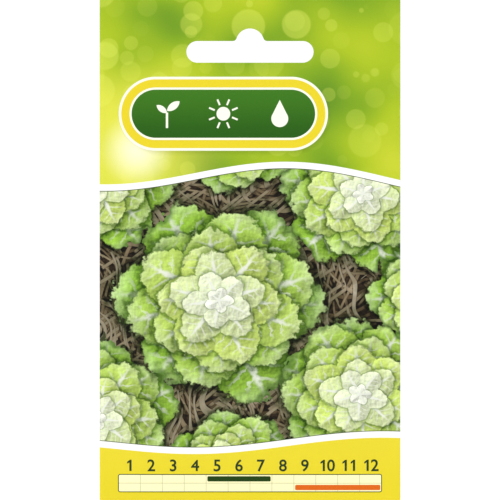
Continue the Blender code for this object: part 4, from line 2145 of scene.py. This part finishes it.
@dataclass
class Studio:
    """The pale floor, the soft lights and the camera, which looks straight at the front."""

    low: Vector
    high: Vector
    lens: float = 300.0  # millimetres, as the sensor
    sensor: float = 36.0
    farthest: float = 100.0  # how far the camera sees
    floor_drop: float = 16 * MM  # from the packet to the floor
    floor_size: float = 24.0
    floor_glow: float = 0.16
    overfill: float = 0.3 * MM  # how far the packet reaches past the picture's upper and lower edge
    surround: float = 0.55  # how strongly the white surround lights the packet
    backdrop: float = 1.05  # and how bright the camera sees it
    lights: tuple[SoftSun, ...] = (
        SoftSun("key_light", 1.35, 40.0, (52.0, 0.0, -28.0)),
        SoftSun("back_light", 0.8, 60.0, (55.0, 0.0, 160.0)),
    )

    def build(self) -> None:
        """Sets up the whole studio."""
        self._floor()
        self._lights()
        self._camera()

    def _floor(self) -> None:
        """Lays the white floor a little below the hanging packet."""
        bm = bmesh.new()
        bmesh.ops.create_grid(bm, x_segments=1, y_segments=1, size=self.floor_size / 2)
        bmesh.ops.translate(bm, vec=(0, 0, self.low.z - self.floor_drop), verts=bm.verts)
        bench = Bench("studio_floor")
        bench.set(Base_Color=srgb(252, 252, 252), Roughness=0.9)
        bench.set(Emission_Color=srgb(255, 255, 255), Emission_Strength=self.floor_glow)
        add_object("studio_floor", bm, [bench.material])

    def _lights(self) -> None:
        """Sets up a white surround, and the broad soft lights from the front and from behind."""
        world = bpy.data.worlds.new("studio")
        bpy.context.scene.world = world
        world.use_nodes = True
        tree = world.node_tree
        background = tree.nodes["Background"]
        seen = tree.nodes.new("ShaderNodeLightPath")
        strength = tree.nodes.new("ShaderNodeMapRange")
        strength.inputs["To Min"].default_value = self.surround
        strength.inputs["To Max"].default_value = self.backdrop
        tree.links.new(seen.outputs["Is Camera Ray"], strength.inputs["Value"])
        tree.links.new(strength.outputs["Result"], background.inputs["Strength"])
        background.inputs["Color"].default_value = srgb(255, 255, 255)
        for sun in self.lights:
            light = bpy.data.lights.new(sun.name, "SUN")
            light.energy = sun.energy
            light.angle = math.radians(sun.spread)
            lamp = bpy.data.objects.new(sun.name, light)
            lamp.rotation_euler = Euler([math.radians(angle) for angle in sun.turn])
            bpy.context.scene.collection.objects.link(lamp)

    def _camera(self) -> None:
        """Points a long lens straight at the front, so that the packet fills the picture's height."""
        camera = bpy.data.cameras.new("camera")
        camera.lens = self.lens
        camera.sensor_width = self.sensor
        camera.clip_end = self.farthest
        height = self.high.z - self.low.z - 2 * self.overfill
        distance = height * self.lens / self.sensor
        holder = bpy.data.objects.new("camera", camera)
        holder.location = (0.0, self.low.y - distance, (self.low.z + self.high.z) / 2)
        holder.rotation_euler = (math.pi / 2, 0.0, 0.0)
        bpy.context.scene.collection.objects.link(holder)
        bpy.context.scene.camera = holder
        bpy.context.scene.view_settings.view_transform = "Standard"


def settle(piece: bpy.types.Object, slot: str, *nodes: str) -> None:
    """Makes a piece ride on the packet.

    Args:
        piece: The piece.
        slot: Not used.
        nodes: The solids that it stands for.
    """
    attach(piece, "root")
    if nodes:
        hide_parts(*nodes)
    LOG.info("%s: %d faces", piece.name, len(piece.data.polygons))


def build_envelope() -> None:
    """Builds the printed envelope and the numbers on it."""
    envelope = Envelope(*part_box("envelope"))
    bottom = envelope.bottom
    front, back = FrontPrint(bottom), BackPrint(bottom)
    printers_dots = (srgb(24, 150, 210), srgb(214, 30, 120), srgb(248, 226, 40), srgb(34, 34, 34))
    materials = [
        front.material(),
        back.material(),
        FlapPrint("side_flap_print", bottom, foot_height=18.4).material(),
        FlapPrint("bottom_flap_print", bottom, foot_height=30.0, dots=printers_dots).material(),
        BarePaper().material(),
    ]
    settle(envelope.build(materials), "printed_paper", "envelope")
    ink = PrintedInk().material()
    for name, calendar, side in (
        ("front_month_numbers", front.calendar, Side.FRONT),
        ("back_month_numbers", back.calendar, Side.BACK),
    ):
        settle(MonthNumbers(calendar, side).build(name, envelope, ink), "printed_paper")


def build_filling() -> None:
    """Builds the sachet and the seeds in it."""
    sachet = Sachet(*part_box("sachet_front_foil"))
    foil = SachetFoil().material(sachet.low, sachet.high, sachet.seal)
    settle(sachet.web("front_foil_web", Side.FRONT, foil), "sachet_foil", "sachet_front_foil")
    settle(sachet.web("back_foil_web", Side.BACK, foil), "sachet_foil", "sachet_back_foil")
    husk = SeedHusk().material()
    # a darker copy of the husk: painted shade for the deeper seeds seen between the outer ones
    shaded_husk = SeedHusk("shaded_seed_husk", srgb(128, 104, 74), srgb(60, 44, 30)).material()
    settle(SeedHeap(sachet).build(husk, shaded_husk), "seed_husk", "seeds")


def main() -> None:
    """Builds and dresses the packet, then the studio around it."""
    logging.basicConfig(level=logging.INFO, format="%(message)s")
    build_envelope()
    build_filling()
    Studio(*cad_box).build()


if __name__ == "__main__":
    main()
